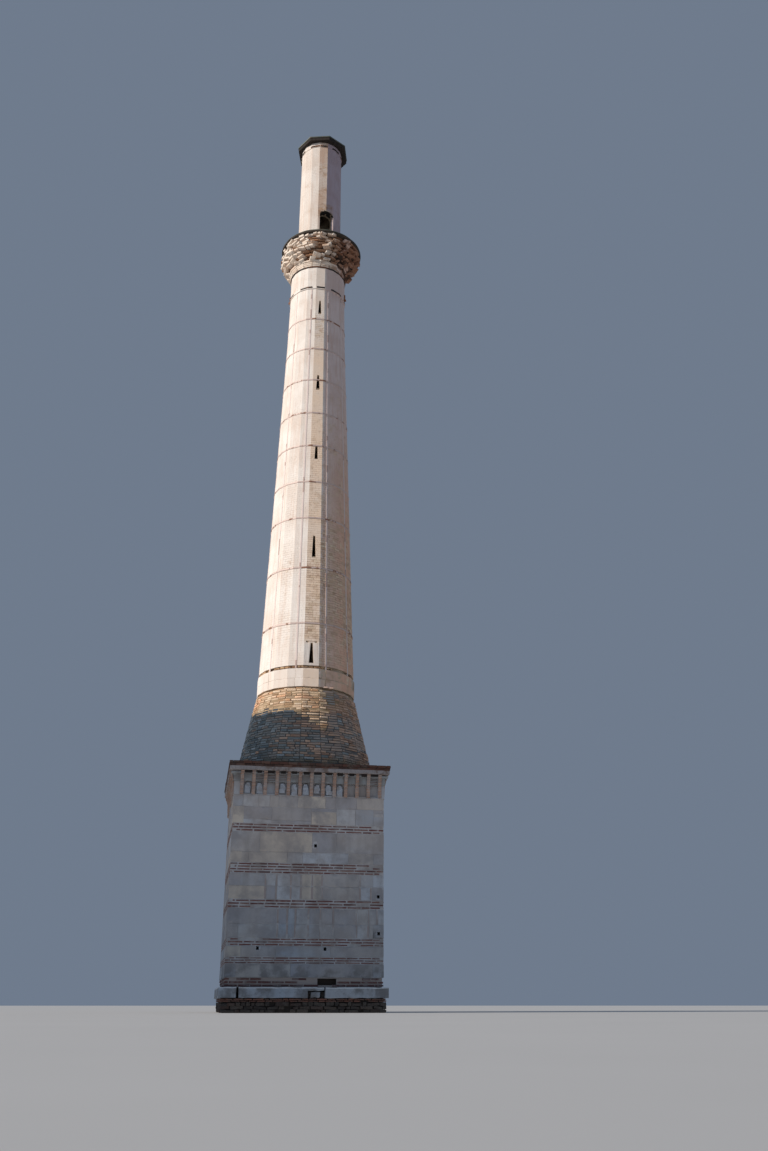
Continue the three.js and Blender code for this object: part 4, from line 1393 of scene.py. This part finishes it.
def erosion(angle, z, place):
    """How far the lime wash has gone at places on the shaft, from 0 to 1. On the shaded side it is raised,
    partly as painted warm reflected light.
    """
    value = 0.05 + drift(place, 1.3, 11) * 0.10 + drift(place, 0.45, 12) * 0.08
    front = np.interp(z, [11.2, 11.9, 12.1, 14.6, 15.2, 17.0, 20.5, 22.0, 24.9, 25.2, 26.2, 26.8],
                      [0.03, 0.05, 0.37, 0.36, 0.27, 0.25, 0.20, 0.10, 0.12, 0.38, 0.26, 0.03])
    # On the shaded side the wear shows real bare brick, and is also raised to brown the shade: painted warm
    # reflected light.
    shaded = np.interp(z, [10.9, 12.6, 14.2, 17.0, 21.0, 25.0], [0.36, 0.44, 0.48, 0.34, 0.20, 0.08])
    lit = np.interp(z, [11.5, 13.0, 16.0, 19.0], [0.0, 0.18, 0.12, 0.0])
    unseen = np.interp(z, [12.0, 13.5, 17.0, 22.0], [0.05, 0.5, 0.35, 0.05])
    value = value + front * (np.abs(angle) < 1) + shaded * ((angle > 10) & (angle < 100))
    value = value + lit * ((angle > -40) & (angle < -30)) + unseen * (np.abs(np.abs(angle) - 144) < 10)
    value = np.where(z < FOOT_RING_TOP + 0.11, 1.0, value)
    return np.clip(value, 0, 1)


def slit_gap(low, high):
    """Half the width that the bricks of a course leave for a light slit, or 0."""
    for index, (bottom, top, foot, head) in enumerate(SLITS):
        if high > bottom and low < top:
            dressing = 0.165 if index == 0 else 0.0
            return float(np.interp((low + high) / 2, [bottom, top], [foot / 2, head / 2])) + dressing
    return 0.0


def around_slit(angle, low, high, spans):
    """Cuts the bricks of the front facet back from the light slits."""
    gap = slit_gap(low, high) if abs(angle) < 1 else 0.0
    return clear_of(spans, -gap, gap) if gap else spans


def faceted_courses(blocks, profile, sides, z0, z1, pitch, brick, wear_of, gap_of=None, depth=0.09,
                    lost=0.0, set_back=0.009):
    """Courses of bricks round a many-sided wall, with thin joints where they are still lime washed."""
    step = 360 / sides
    flat = math.cos(math.radians(step / 2))
    rows = max(1, round((z1 - z0) / pitch))
    height = (z1 - z0) / rows
    runs = []
    for row in range(rows):
        low = z0 + row * height
        width = along(profile, low + height / 2) * flat * 2 * math.tan(math.radians(step / 2))
        for side in range(sides):
            angle = side * step if side <= sides / 2 else side * step - 360
            joints = split(width, brick, 0.5 if (row + side) % 2 else 0.0)
            spans = [(a - width / 2, b - width / 2) for a, b in pairwise(joints)]
            if gap_of:
                spans = gap_of(angle, low, low + height, spans)
            runs += [(angle, low + height / 2, a, b, width / 2) for a, b in spans if rng.random() >= lost]
    angle, z, left, far, half = np.array(runs).T
    turn = np.radians(angle)
    zero = np.zeros_like(turn)
    out = np.column_stack([np.sin(turn), -np.cos(turn), zero])
    right = np.column_stack([np.cos(turn), np.sin(turn), zero])
    apothem = along(profile, z) * flat
    lean = (along(profile, z + 0.3) - along(profile, z - 0.3)) * flat / 0.6
    if z1 - z0 < 1.2:    # a short band stands upright
        lean = zero
    middle = out * apothem[:, None] + right * ((left + far) / 2)[:, None] + np.outer(z, UP)
    wear = wear_of(angle, z, middle)
    opened = wear * np.minimum(1, 1.6 * wear)
    joint = 0.0014 + 0.026 * opened
    edge_a = np.where(left > -half + 0.001, joint, 0.001)
    edge_b = np.where(far < half - 0.001, joint, 0.001)
    back = 0.0005 + (0.0003 + set_back * opened) * rng.random(len(z))
    size = np.column_stack([far - left - (edge_a + edge_b) / 2, zero + depth,
                            height - joint * (0.7 + 0.5 * rng.random(len(z)))])
    middle = middle + right * ((edge_a - edge_b) / 4)[:, None] - out * back[:, None]
    blocks.add_many(middle, right, UP + out * lean[:, None], size, rng.random(len(z)), wear)


# Wear is raised on the shaded side beyond ten degrees, which browns and darkens the ring there: painted
# shade.
def ring_wear_and_shade(angle, z, place):
    return np.clip(0.12 + 0.1 * drift(place, 0.5, 41) + 0.42 * (angle > 10), 0, 1)


def lay_askew_stones(stones):
    """Two flat white stones that stick out askew under the foot ring, where a course is lost."""
    out, right = directions(20.5)
    askew = directions(-8)[1]
    place = out * (FOOT_RING_RADIUS - 0.002) + UP * (TRANSITION_TOP + 0.014)
    for shift, width in ((-0.11, 0.17), (0.09, 0.20)):
        stones.add(place + right * shift, askew, UP, (width, 0.12, 0.036), 0.1, 0.0)


def make_foot_ring():
    core_of("foot_ring_core", ["foot_ring"], LIME_MORTAR, 0.014)
    stones = Blocks()
    even = [(10.0, FOOT_RING_RADIUS), (11.0, FOOT_RING_RADIUS - 0.004)]
    for low, high in ((TRANSITION_TOP, FOOT_RING_JOINT), (FOOT_RING_JOINT, FOOT_RING_TOP)):
        faceted_courses(stones, even, SHAFT_SIDES, low, high, 0.5, 0.7, ring_wear_and_shade, depth=0.2, set_back=0.02)
    lay_askew_stones(stones)
    lay("foot_ring_stones", stones, DRESSED_BLOCK, RING_STONE, "lime_wash", chip=(0.004, 0.01),
        rough=0.0006, bumps=0.003, worn_edge=0.006)


SHAFT_COURSE = 0.09
ERODED_TOP = FOOT_RING_TOP + 0.115    # over the lowest course, whose face is gone


def make_shaft():
    lower = [f"lower_shaft_{side}" for side in SIDES]
    upper = [f"upper_shaft_{side}" for side in SIDES]
    core_of("lower_shaft_core", [*lower, "middle_shaft_front"], LIME_MORTAR,
            lambda z: 0.10 if z < ERODED_TOP - 0.002 else 0.016, levels=(ERODED_TOP - 0.004, ERODED_TOP))
    core_of("upper_shaft_core", upper, LIME_MORTAR, 0.016)
    lay_eroded_course()
    lifts = (("lower_shaft_bricks", ERODED_TOP, SHAFT_LIFT), ("upper_shaft_bricks", SHAFT_LIFT, SHAFT_TOP))
    for name, low, high in lifts:
        bricks = Blocks()
        faceted_courses(bricks, SHAFT_PROFILE, SHAFT_SIDES, low, high, SHAFT_COURSE, 0.27, erosion,
                        around_slit)
        lay(name, bricks, PLAIN_BRICK, LIME, "lime_wash", chip=(0.0006, 0.009), rough=(0.0001, 0.0020),
            smooth_under=8)
    make_slit_dressing()


def lay_eroded_course():
    """The shaft's lowest course: broken bricks, with none left on the right."""
    broken = Blocks()
    sunk = [(z, radius - 0.006) for z, radius in SHAFT_PROFILE]
    faceted_courses(broken, sunk, SHAFT_SIDES, FOOT_RING_TOP + 0.032, ERODED_TOP, SHAFT_COURSE, 0.2, erosion,
                    lambda angle, low, high, spans: [] if 30 < angle < 70 else spans,
                    depth=0.12, lost=0.16, set_back=0.034)
    lay("shaft_eroded_course", broken, WORN_BRICK, ERODED_BRICK, "lime_wash", chip=(0.004, 0.016),
        rough=0.006)


def make_slit_dressing():
    """White stones beside the lowest slit, and small lintels over all of them."""
    stones = Blocks()
    out, right = directions(0)
    for index, (bottom, top, foot, head) in enumerate(SLITS):
        middle = (bottom + top) / 2
        lean = (along(SHAFT_PROFILE, top) - along(SHAFT_PROFILE, bottom)) / (top - bottom)
        up = UP + out * lean
        if index == 0:
            place = out * along(SHAFT_PROFILE, middle) * SHAFT_FLAT + UP * middle
            for hand in (-1, 1):
                x = hand * ((foot + head) / 4 + 0.084)
                slant = -hand * (foot - head) / 2 / (top - bottom)
                stones.add(place + right * x, right - UP * slant, up + right * slant,
                           (0.160, 0.16, top - bottom + 0.02), 0.1, 0.0)
        place = out * (along(SHAFT_PROFILE, top + 0.03) * SHAFT_FLAT - 0.001) + UP * (top + 0.028)
        stones.add(place, right, up, (head + 0.15, 0.12, 0.052), 0.7, 0.35)
    lay("slit_dressing_stones", stones, DRESSED_BLOCK, RING_STONE, "lime_wash", rough=0.001, bumps=0.003,
        worn_edge=0.005)


STRAP_WIDTH = 0.058
STRAP_PROUD = 0.0095    # how far a strap's face stands off the wall
HOOP_HEIGHT = 0.056
HOOP_PROUD = 0.0185


def make_ironwork():
    straps, hoops, rivets = Blocks(), Blocks(), Blocks()
    for strap in range(STRAP_COUNT):
        lay_strap(straps, (strap + 0.5) * 360 / STRAP_COUNT)
    for z in HOOP_HEIGHTS:
        lay_hoop(hoops, rivets, z)
    lay("iron_straps", straps, PLAIN_BRICK, STRAP_IRON, "rusted_iron", chip=(0.002, 0.002), rough=0.0004,
        replaces=["iron_straps_and_hoops"], smooth_under=8)
    lay("iron_hoops", hoops, PLAIN_BRICK, HOOP_IRON, "rusted_iron", chip=(0.002, 0.003), rough=0.0004,
        smooth_under=8)
    lay("iron_rivets", rivets, RIVET, HOOP_IRON, "rusted_iron", rough=0)


def lay_strap(straps, angle):
    """One strap from hoop to hoop, in lengths that are painted or, where short, mostly rusted."""
    out, right = directions(angle)
    taper = SHAFT_PROFILE[1][0]    # the height where the wall's slope changes
    levels = [FOOT_RING_TOP + 0.004, *HOOP_HEIGHTS, SHAFT_TOP - 0.004]
    for low, high in pairwise(levels):
        here = low
        while here < high - 0.001:
            dash = rng.random() < 0.3
            end = min(high, here + (0.10 + 0.22 * rng.random() if dash else 0.3 + 0.9 * rng.random()))
            end = high if high - end < 0.06 else end
            if here < taper < end:
                end = taper
            foot, head = (along(SHAFT_PROFILE, z) * SHAFT_FLAT for z in (here, end))
            place = out * ((foot + head) / 2 + STRAP_PROUD) + UP * (here + end) / 2
            upward = UP * (end - here) + out * (head - foot)
            straps.add(place, right, upward, (STRAP_WIDTH, 0.02, end - here), rng.random(), float(dash))
            here = end


def lay_hoop(hoops, rivets, z):
    """One hoop in a length for each facet, with a rivet on every strap and bolts over and under it."""
    face = along(SHAFT_PROFILE, z) * SHAFT_FLAT + HOOP_PROUD
    width = 2 * face * math.tan(math.radians(FACET / 2))
    for side in range(SHAFT_SIDES):
        out, right = directions(side * FACET)
        hoops.add(out * face + UP * z, right, UP, (width, 0.03, HOOP_HEIGHT), rng.random(), 0.4)
        if side % 2:
            rivets.add(out * (face + 0.007) + UP * z, right, UP, (0.036, 0.014, 0.036))
            for z_bolt in (z - 0.075, z + 0.075):
                reach = along(SHAFT_PROFILE, z_bolt) * SHAFT_FLAT + STRAP_PROUD
                rivets.add(out * (reach + 0.006) + UP * z_bolt, right, UP, (0.022, 0.014, 0.022))


# Collar, with dark iron showing in its string course and a hoop under the corbels

# Where iron bars lie in the string courses, as plan angles from and to
COLLAR_BARS = [(-88, -66), (-44, -17), (-8, 9.5), (23, 52), (66, 88), (100, 124), (138, 160), (172, 196),
               (210, 232), (246, 268)]
DRUM_BARS = [(-84, -62), (-39, -12), (-10, 10.5), (26, 52), (66, 90), (104, 128), (142, 166), (180, 204),
             (218, 242), (252, 264)]
DRUM_BARS_HEIGHT = 35.398
COLLAR_HOOKS = [(78, 27.76), (-96, 27.58)]    # plan angle and height
WASHED = {"chip": (0.0006, 0.008), "rough": (0.0001, 0.002), "smooth_under": 8}
RUSTY = {"chip": (0.004, 0.004), "rough": 0.001}


def even_wear(level):
    return lambda angle, z, place: np.clip(level + 0.14 * drift(place, 0.8, 13), 0, 1)


def string_bars(bricks, iron, radius, sides, z, bars, proud):
    """Iron bars along a many-sided string course, with plastered brick between them."""
    step = 360 / sides
    apothem = radius * math.cos(math.radians(step / 2))
    width = 2 * (apothem * math.tan(math.radians(step / 2))) + proud * 0.3
    for side in range(sides):
        angle = side * step
        out, right = directions(angle)
        place = out * (apothem + proud / 2) + UP * z
        bricks.add(place, right, UP, (width, 0.09, 0.066), rng.random(), 0.05)
        for start, end in bars:
            for turn in (-360, 0, 360):
                low = max(start + turn - angle, -step / 2)
                high = min(end + turn - angle, step / 2)
                if high - low < 1.5:    # too short to be seen
                    continue
                a, b = (apothem * math.tan(math.radians(x)) for x in (low, high))
                place = out * (apothem + proud) + right * (a + b) / 2 + UP * z
                iron.add(place, right, UP, (b - a, 0.10, 0.080), 0.5, 0.3)


def make_collar():
    core_of("collar_core", ["collar"], LIME_MORTAR, 0.048)
    bricks, iron, hooks = Blocks(), Blocks(), Blocks()
    plain = [(27.0, COLLAR_RADIUS), (29.0, COLLAR_RADIUS)]
    faceted_courses(bricks, plain, SHAFT_SIDES, STRING_TOP, 28.53, 0.09, 0.24, even_wear(0.10))
    proud = [(27.0, STRING_RADIUS), (29.0, STRING_RADIUS)]
    faceted_courses(bricks, proud, SHAFT_SIDES, SHAFT_TOP, SHAFT_TOP + 0.034, 0.034, 0.4, even_wear(0.05),
                    depth=0.1)
    string_bars(bricks, iron, COLLAR_RADIUS, SHAFT_SIDES, SHAFT_TOP + 0.066, COLLAR_BARS, 0.032)
    for angle, z in COLLAR_HOOKS:
        out, right = directions(angle)
        for proud, lift, height in ((0.010, 0.06, 0.26), (0.045, -0.08, 0.08)):
            place = out * (STRING_RADIUS + proud) + UP * (z + lift)
            hooks.add(place, right, UP, (0.06, 0.16, height), 0.5, 0.3)
    lay("collar_bricks", bricks, PLAIN_BRICK, LIME, "lime_wash", **WASHED)
    lay("collar_iron_bars", iron, WORN_BRICK, DARK_IRON, "rusted_iron", **RUSTY)
    lay("collar_hooks", hooks, WORN_BRICK, HOOK_IRON, "rusted_iron", **RUSTY)
    hoop = [(1.06, 28.535), (1.160, 28.535), (1.166, 28.543), (1.166, 28.574), (1.160, 28.582),
            (1.06, 28.582)]
    spun("collar_top_hoop", hoop, SHAFT_SIDES, DARK_IRON, turn=FACET / 2)


def spun(name, outline, steps, material, replaces=(), ripple=0.0, turn=0.0, shift=0.0):
    """A ring turned about an upright axis from a closed outline of radius and height, perhaps rippled."""
    bm = bmesh.new()
    verts = [bm.verts.new((radius, 0, z)) for radius, z in outline]
    face = bm.faces.new(verts)
    bmesh.ops.spin(bm, geom=[face, *face.edges, *verts], cent=(0, 0, 0), axis=(0, 0, 1), angle=math.tau,
                   steps=steps, use_merge=True, use_duplicate=False)
    bmesh.ops.remove_doubles(bm, verts=bm.verts, dist=0.0001)
    inside = [f for f in bm.faces
              if abs(f.normal.z) < 0.001 and abs(f.normal.dot(f.calc_center_median())) < 0.001]
    bmesh.ops.delete(bm, geom=inside, context="FACES_ONLY")
    bmesh.ops.recalc_face_normals(bm, faces=bm.faces)
    if ripple:
        for v in bm.verts:
            reach = math.hypot(v.co.x, v.co.y)
            change = ripple * float(drift([*v.co], 0.22, 51))
            v.co.x *= 1 + change / reach
            v.co.y *= 1 + change / reach
            v.co.z += change * 0.4
    bmesh.ops.rotate(bm, verts=bm.verts, matrix=Matrix.Rotation(math.radians(turn), 3, "Z"))
    bmesh.ops.translate(bm, verts=bm.verts, vec=(shift, 0, 0))
    return finish_piece(name, mesh_of(bm, name), material, replaces, 30)


# Corbels: small brackets under rows of broken brick ends, with plaster left on them

# The bowl's outline upwards: height, radius, how far its middle lies to the right of the axis, and how far
# the masonry is drawn in on the right
BOWL = [
    (COLLAR_TOP, 1.155, -0.02, 0.0),
    (28.80, 1.22, -0.01, 0.09),
    (29.0, 1.36, 0.0, 0.28),
    (29.2, 1.50, 0.03, 0.29),
    (29.4, 1.60, 0.06, 0.17),
    (29.6, 1.645, 0.085, 0.06),
    (29.8, 1.65, 0.105, 0.0),
    (SLAB_BOTTOM, 1.645, SLAB_SHIFT, 0.0),
]
# Single ends that stick out: plan angle, height, how far, width
JUTTING_ENDS = [(84, 29.68, 0.08, 0.16), (84, 29.22, 0.24, 0.14), (-96, 29.62, 0.05, 0.14),
                (-96, 29.18, 0.09, 0.12)]
BRACKET_ROWS = 4
BRACKETS_TOP = 28.86
BRACKET_COUNT = 20
END_ROWS = 8
LONGEST_REACH = 1.66    # no end of a row stands out further from the bowl's middle


def bowl_at(z, column):
    return float(np.interp(z, [b[0] for b in BOWL], [b[column] for b in BOWL]))


def bowl_radius(z, angle):
    return bowl_at(z, 1) - bowl_at(z, 3) * max(0.0, math.sin(math.radians(angle)))


def bowl_axis(z):
    return np.array([bowl_at(z, 2), 0.0, z])


def brown_and_shade_share(angle, gone=0.5):
    """Brick ends are barer and browner towards the right and the back. The browner right side also stands in
    for the shade there, painted.
    """
    share = 0.28 + 0.52 * math.sin(math.radians(angle)) + 0.8 * (gone - 0.5) + 0.3 * (rng.random() - 0.3)
    return np.clip(share, 0, 1)


def make_corbels():
    nodes = [f"{name}_corbel_tier" for name in ("lowest", "second", "third", "top")]
    core_of("corbel_core", nodes, CORBEL_MORTAR, lambda z: 0.34 if z < 29.25 else 0.19)
    brackets, ends = Blocks(), Blocks()
    lay_brackets(brackets)
    lay_bowl_rows(ends)
    lay_jutting_ends(ends)
    lay("corbel_brackets", brackets, PLAIN_BRICK, CORBEL_BRICK, "corbel_brick", chip=(0.004, 0.010),
        rough=0.003)
    lay("corbel_brick_ends", ends, WORN_BRICK, CORBEL_BRICK, "corbel_brick", chip=(0.006, 0.016),
        rough=0.007)


def lay_brackets(brackets):
    """Plastered brackets at the bowl's foot, one over each arris of the collar."""
    pitch = (BRACKETS_TOP - COLLAR_TOP) / BRACKET_ROWS
    for row in range(BRACKET_ROWS):
        z = COLLAR_TOP + pitch * (row + 0.5)
        size = (0.325 + 0.018 * row, 0.30, pitch - 0.001)
        for bracket in range(BRACKET_COUNT):
            angle = FACET / 2 + 360 / BRACKET_COUNT * bracket
            out, right = directions(angle)
            reach = bowl_radius(z, angle) - 0.01 - 0.012 * rng.random()
            brackets.add(bowl_axis(z) + out * reach, right, UP, size, rng.random(),
                         0.8 * brown_and_shade_share(angle) - 0.1)


def lay_bowl_rows(ends):
    """Rows of long brick ends round the bowl, broken back unevenly, with deep gaps between the rows."""
    pitch = (SLAB_BOTTOM - BRACKETS_TOP) / END_ROWS
    for row in range(END_ROWS):
        foot = BRACKETS_TOP + pitch * row
        angle = 360 * rng.random()
        last = angle + 360
        while angle < last - 4:
            z = foot + pitch * (0.12 * rng.random() + 0.30 * (row == END_ROWS - 1))
            radius = bowl_radius(z + pitch * 0.7, angle)
            length = 0.15 + 0.26 * rng.random() ** 1.3
            turn = min(math.degrees(length / radius), last - angle)
            out, right = directions(angle + turn / 2)
            gone = 0.5 + 0.5 * float(drift(out * radius + UP * z, 0.42, 61))
            lost = rng.random() < 0.12 + 0.40 * gone * (row < END_ROWS - 1)
            reach = radius + 0.020 * rng.normal() - 0.06 * gone * rng.random() + 0.06 * (rng.random() < 0.08)
            height = pitch * (0.42 + 0.24 * rng.random())
            slant = right + out * 0.32 * rng.normal() + UP * 0.22 * rng.normal()
            if not lost:
                place = bowl_axis(z) + out * min(reach, LONGEST_REACH) + UP * height / 2
                upward = UP + out * 0.15 * rng.normal()
                size = (length * (0.80 + 0.14 * rng.random()), 0.34, height)
                ends.add(place, slant, upward, size, rng.random(), brown_and_shade_share(angle, gone))
            if lost or rng.random() < 0.25:
                behind = radius - 0.11 - 0.03 * rng.random()
                size = (length, 0.25, pitch * (0.35 + 0.3 * rng.random()))
                ends.add(bowl_axis(z) + out * behind + UP * pitch * 0.62, right, UP, size, rng.random(), 1.0)
            angle += turn


def lay_jutting_ends(ends):
    for angle, z, proud, width in JUTTING_ENDS:
        out, right = directions(angle)
        reach = bowl_radius(z, angle) + proud
        ends.add(bowl_axis(z) + out * reach, right, UP, (width, 0.4, 0.07), rng.random(), 0.8)


def make_slab():
    edge = SLAB_RADIUS - 0.010
    well = 0.70
    outline = [(well, SLAB_BOTTOM), (edge - 0.045, SLAB_BOTTOM), (edge - 0.010, SLAB_BOTTOM + 0.012),
               (edge - 0.004, SLAB_BOTTOM + 0.05), (edge, SLAB_TOP - 0.03),
               (edge - 0.008, SLAB_TOP - 0.006), (edge - 0.045, SLAB_TOP), (well, SLAB_TOP)]
    spun("balcony_slab_stone", outline, 120, SLAB_STONE, ["balcony_slab"], ripple=0.010,
         shift=SLAB_SHIFT)


# Upper drum, with the balcony door on one of its arrises

# The doorway's head: height and half width
DOOR_HEAD = [(DOOR_SPRING, DOOR_WIDTH / 2), (31.69, 0.234), (31.745, 0.12), (DOOR_APEX, 0.0)]
DRUM_FACETS = [360 / DRUM_SIDES * side for side in (-1, 0, 1, 2)]    # the facets that it can cut
DRUM_FLAT = math.cos(math.radians(180 / DRUM_SIDES))    # a flat side's reach over an arris's


def door_gap(low):
    """Half the width of the balcony doorway at a course, or 0 above it."""
    return float(np.interp(low, [z for z, half in DOOR_HEAD], [half for z, half in DOOR_HEAD]))


def around_door(angle, low, high, spans):
    """Cuts the bricks of the facets beside the balcony door back from the doorway."""
    gap = door_gap(low)
    if not gap or angle not in DRUM_FACETS:
        return spans
    turn = math.radians(angle - DOOR_ANGLE)
    shift = float(along(DRUM_PROFILE, low)) * DRUM_FLAT * math.sin(turn)
    return clear_of(spans, (-gap - shift) / math.cos(turn), (gap - shift) / math.cos(turn))


def drum_face(across, z):
    """How far the drum's face lies from the axis, straight out of the doorway, at a place across it."""
    apothem = float(along(DRUM_PROFILE, z)) * DRUM_FLAT
    turns = [math.radians(angle - DOOR_ANGLE) for angle in DRUM_FACETS]
    return min((apothem - across * math.sin(turn)) / math.cos(turn) for turn in turns)


def drum_wear(angle, z, place):
    patches = np.where((np.abs(angle) < 12) & (z > 32.4) & (z < 34.4), 0.25, 0.0)
    near_door = np.where((np.abs(angle - 11.25) < 12) & (z < 32.2) & (z > 31.3), 0.3, 0.0)
    return np.clip(0.10 + 0.2 * drift(place, 0.5, 14) + patches + near_door, 0, 1)


def make_drum():
    parts = ("door_left_jamb", "door_right_jamb", "front_over_door", "right", "back", "left")
    nodes = [f"drum_{part}" for part in parts]
    core_of("drum_core", nodes, LIME_MORTAR, 0.012, well=0.7)
    bricks, iron = Blocks(), Blocks()
    low_hoop, high_hoop = DRUM_HOOP
    foot = low_hoop - 0.02
    faceted_courses(bricks, DRUM_PROFILE, DRUM_SIDES, SLAB_TOP, foot, 0.088, 0.26, drum_wear, around_door)
    moulded = [(z, radius + 0.012) for z, radius in DRUM_PROFILE]
    faceted_courses(bricks, moulded, DRUM_SIDES, high_hoop + 0.002, DRUM_TOP, 0.16, 0.5, even_wear(0.02))
    proud = [(z, radius + 0.018) for z, radius in DRUM_PROFILE]
    faceted_courses(bricks, proud, DRUM_SIDES, foot, low_hoop + 0.015, 0.035, 0.5, even_wear(0.02))
    string_bars(bricks, iron, float(along(DRUM_PROFILE, 35.5)), DRUM_SIDES, DRUM_BARS_HEIGHT, DRUM_BARS,
                0.032)
    lay("drum_bricks", bricks, PLAIN_BRICK, DRUM_WASH, "lime_wash", **WASHED)
    lay("drum_iron_bars", iron, WORN_BRICK, DARK_IRON, "rusted_iron", **RUSTY)
    make_door_frame()


DOOR_STONES = ((30.08, 30.58), (30.585, 31.08), (31.085, 31.575))    # bottom and top


def make_door_frame():
    """Plastered stones in the doorway's sides, and dark bricks round its head."""
    stones, dark_rim = Blocks(), Blocks()
    out, right = directions(DOOR_ANGLE)
    for low, high in DOOR_STONES:
        for hand in (-1, 1):
            x = hand * (DOOR_WIDTH / 2 + 0.018)
            reach = drum_face(x, (low + high) / 2) - 0.02 - 0.006 * rng.random()
            place = out * reach + right * x + UP * (low + high) / 2
            stones.add(place, right, UP, (0.05, 0.24, high - low - 0.006), 0.55, 0.25)
    left_half = [(-half, z) for z, half in DOOR_HEAD]
    corners = left_half + [(-x, z) for x, z in left_half[-2::-1]]
    for (xa, za), (xb, zb) in pairwise(corners):
        x, z = (xa + xb) / 2, (za + zb) / 2
        slope = right * (xb - xa) + UP * (zb - za)
        up = UP * (xb - xa) - right * (zb - za)
        up = up / np.linalg.norm(up)
        place = out * (drum_face(x, z) - 0.004) + right * x + UP * z + up * 0.008
        dark_rim.add(place, slope, up, (math.hypot(xb - xa, zb - za) + 0.01, 0.28, 0.018), 0.0, 0.6)
    style = {"chip": (0.004, 0.010), "rough": 0.003}
    lay("door_frame_stones", stones, WORN_BRICK, LIME, "lime_wash", **style)
    lay("door_head_bricks", dark_rim, WORN_BRICK, BLACK_FILL, "dark_slab", **style)


# Cap: boards under thin sheet metal

BOARD_WIDTH = 0.155
BOARD_GAP = 0.006
DRIP = 0.040    # how far the sheet's edge hangs below the deck's top
SHEET_EDGE = DECK_TOP + 0.022    # the height where the sheet starts to rise to its middle
SHEET_PEAK = CAP_TOP - 0.012
CAP_CORNER = CAP_FACING + 180 / CAP_SIDES    # the plan angle of one of its corners


def cap_place(z):
    """The matrix that puts an eight-sided ring or prism in the cap's place at a height."""
    return Matrix.Translation((CAP_SHIFT, 0, z)) @ Matrix.Rotation(math.radians(CAP_CORNER - 90), 4, "Z")


def make_board(place, across):
    """A slice of the eight-sided deck, one board wide, or a bmesh without faces where the deck ends."""
    low, high = DRUM_TOP + 0.001 + 0.006 * rng.random(), DECK_TOP - 0.002
    board = bmesh.new()
    bmesh.ops.create_cone(board, cap_ends=True, segments=CAP_SIDES, radius1=DECK_RADIUS,
                          radius2=DECK_RADIUS, depth=high - low, matrix=cap_place((low + high) / 2))
    for at, side in ((place + BOARD_GAP / 2, -1), (place + BOARD_WIDTH - BOARD_GAP / 2, 1)):
        cut = bmesh.ops.bisect_plane(board, geom=[*board.verts, *board.edges, *board.faces],
                                     plane_co=across * at, plane_no=across * side, clear_outer=True)
        rim = [e for e in cut["geom_cut"] if isinstance(e, bmesh.types.BMEdge)]
        if rim:
            bmesh.ops.contextual_create(board, geom=rim)
    return board


def make_cap():
    boards = bmesh.new()
    tints = []
    across = Vector(directions(CAP_FACING)[1])
    place = -math.ceil(DECK_RADIUS / BOARD_WIDTH) * BOARD_WIDTH
    while place < DECK_RADIUS:
        board = make_board(place, across)
        if len(board.faces) > 3:
            mesh = mesh_of(board, "one_board")
            boards.from_mesh(mesh)
            tints += [rng.random()] * len(mesh.vertices)
            bpy.data.meshes.remove(mesh)
        else:
            board.free()
        place += BOARD_WIDTH
    bmesh.ops.recalc_face_normals(boards, faces=boards.faces)
    mesh = mesh_of(boards, "cap_deck_boards")
    values = mesh.attributes.new("tint", "FLOAT", "POINT")
    values.data.foreach_set("value", tints)
    finish_piece("cap_deck_boards", mesh, BOARDS, ["cap_board_deck"])
    make_metal_roof()


def make_metal_roof():
    """A low eight-sided sheet with a folded drip edge and standing seams along its hips."""
    bm = bmesh.new()

    def ring(radius, z):
        circle = bmesh.ops.create_circle(bm, segments=CAP_SIDES, radius=radius, matrix=cap_place(z))
        return {e for v in circle["verts"] for e in v.link_edges}

    outer = [ring(CAP_RADIUS - 0.010, DECK_TOP - DRIP), ring(CAP_RADIUS, DECK_TOP - DRIP + 0.004),
             ring(CAP_RADIUS, SHEET_EDGE - 0.010), ring(CAP_RADIUS - 0.03, SHEET_EDGE),
             ring(0.03, SHEET_PEAK)]
    for first, second in pairwise(outer):
        bmesh.ops.bridge_loops(bm, edges=[*first, *second])
    bmesh.ops.contextual_create(bm, geom=[*outer[-1]])
    lip = ring(CAP_RADIUS - 0.018, DECK_TOP - DRIP)
    bmesh.ops.bridge_loops(bm, edges=[*outer[0], *lip])
    soffit = ring(CAP_RADIUS - 0.018, DECK_TOP + 0.002)
    bmesh.ops.bridge_loops(bm, edges=[*lip, *soffit])
    bmesh.ops.contextual_create(bm, geom=[*soffit])
    bmesh.ops.recalc_face_normals(bm, faces=bm.faces)
    mesh = mesh_of(bm, "cap_sheet_metal")
    finish_piece("cap_sheet_metal", mesh, SHEET_METAL, ["cap_metal_roof"], 20)
    lay_roof_seams()


def lay_roof_seams():
    """Standing seams, each along a hip from the edge to near the peak."""
    seams = Blocks()
    reach = CAP_RADIUS - 0.03
    slope = (SHEET_PEAK - SHEET_EDGE) / (reach - 0.03)
    for hip in range(CAP_SIDES):
        out, right = directions(CAP_CORNER + 360 / CAP_SIDES * hip)
        middle = out * (reach / 2 + 0.03) + UP * (SHEET_EDGE + slope * (reach / 2 - 0.03) + 0.012)
        middle[0] += CAP_SHIFT
        seams.add(middle, right, -out + UP * slope, (0.014, 0.03, reach - 0.06))
    lay("cap_roof_seams", seams, PLAIN_BRICK, SHEET_METAL, "cap_metal", chip=(0.003, 0.003), rough=0)


make_stage()
make_footing()
make_plinth()
make_base_walls()
make_frieze()
make_cornice()
make_transition()
make_foot_ring()
make_shaft()
make_ironwork()
make_collar()
make_corbels()
make_slab()
make_drum()
make_cap()
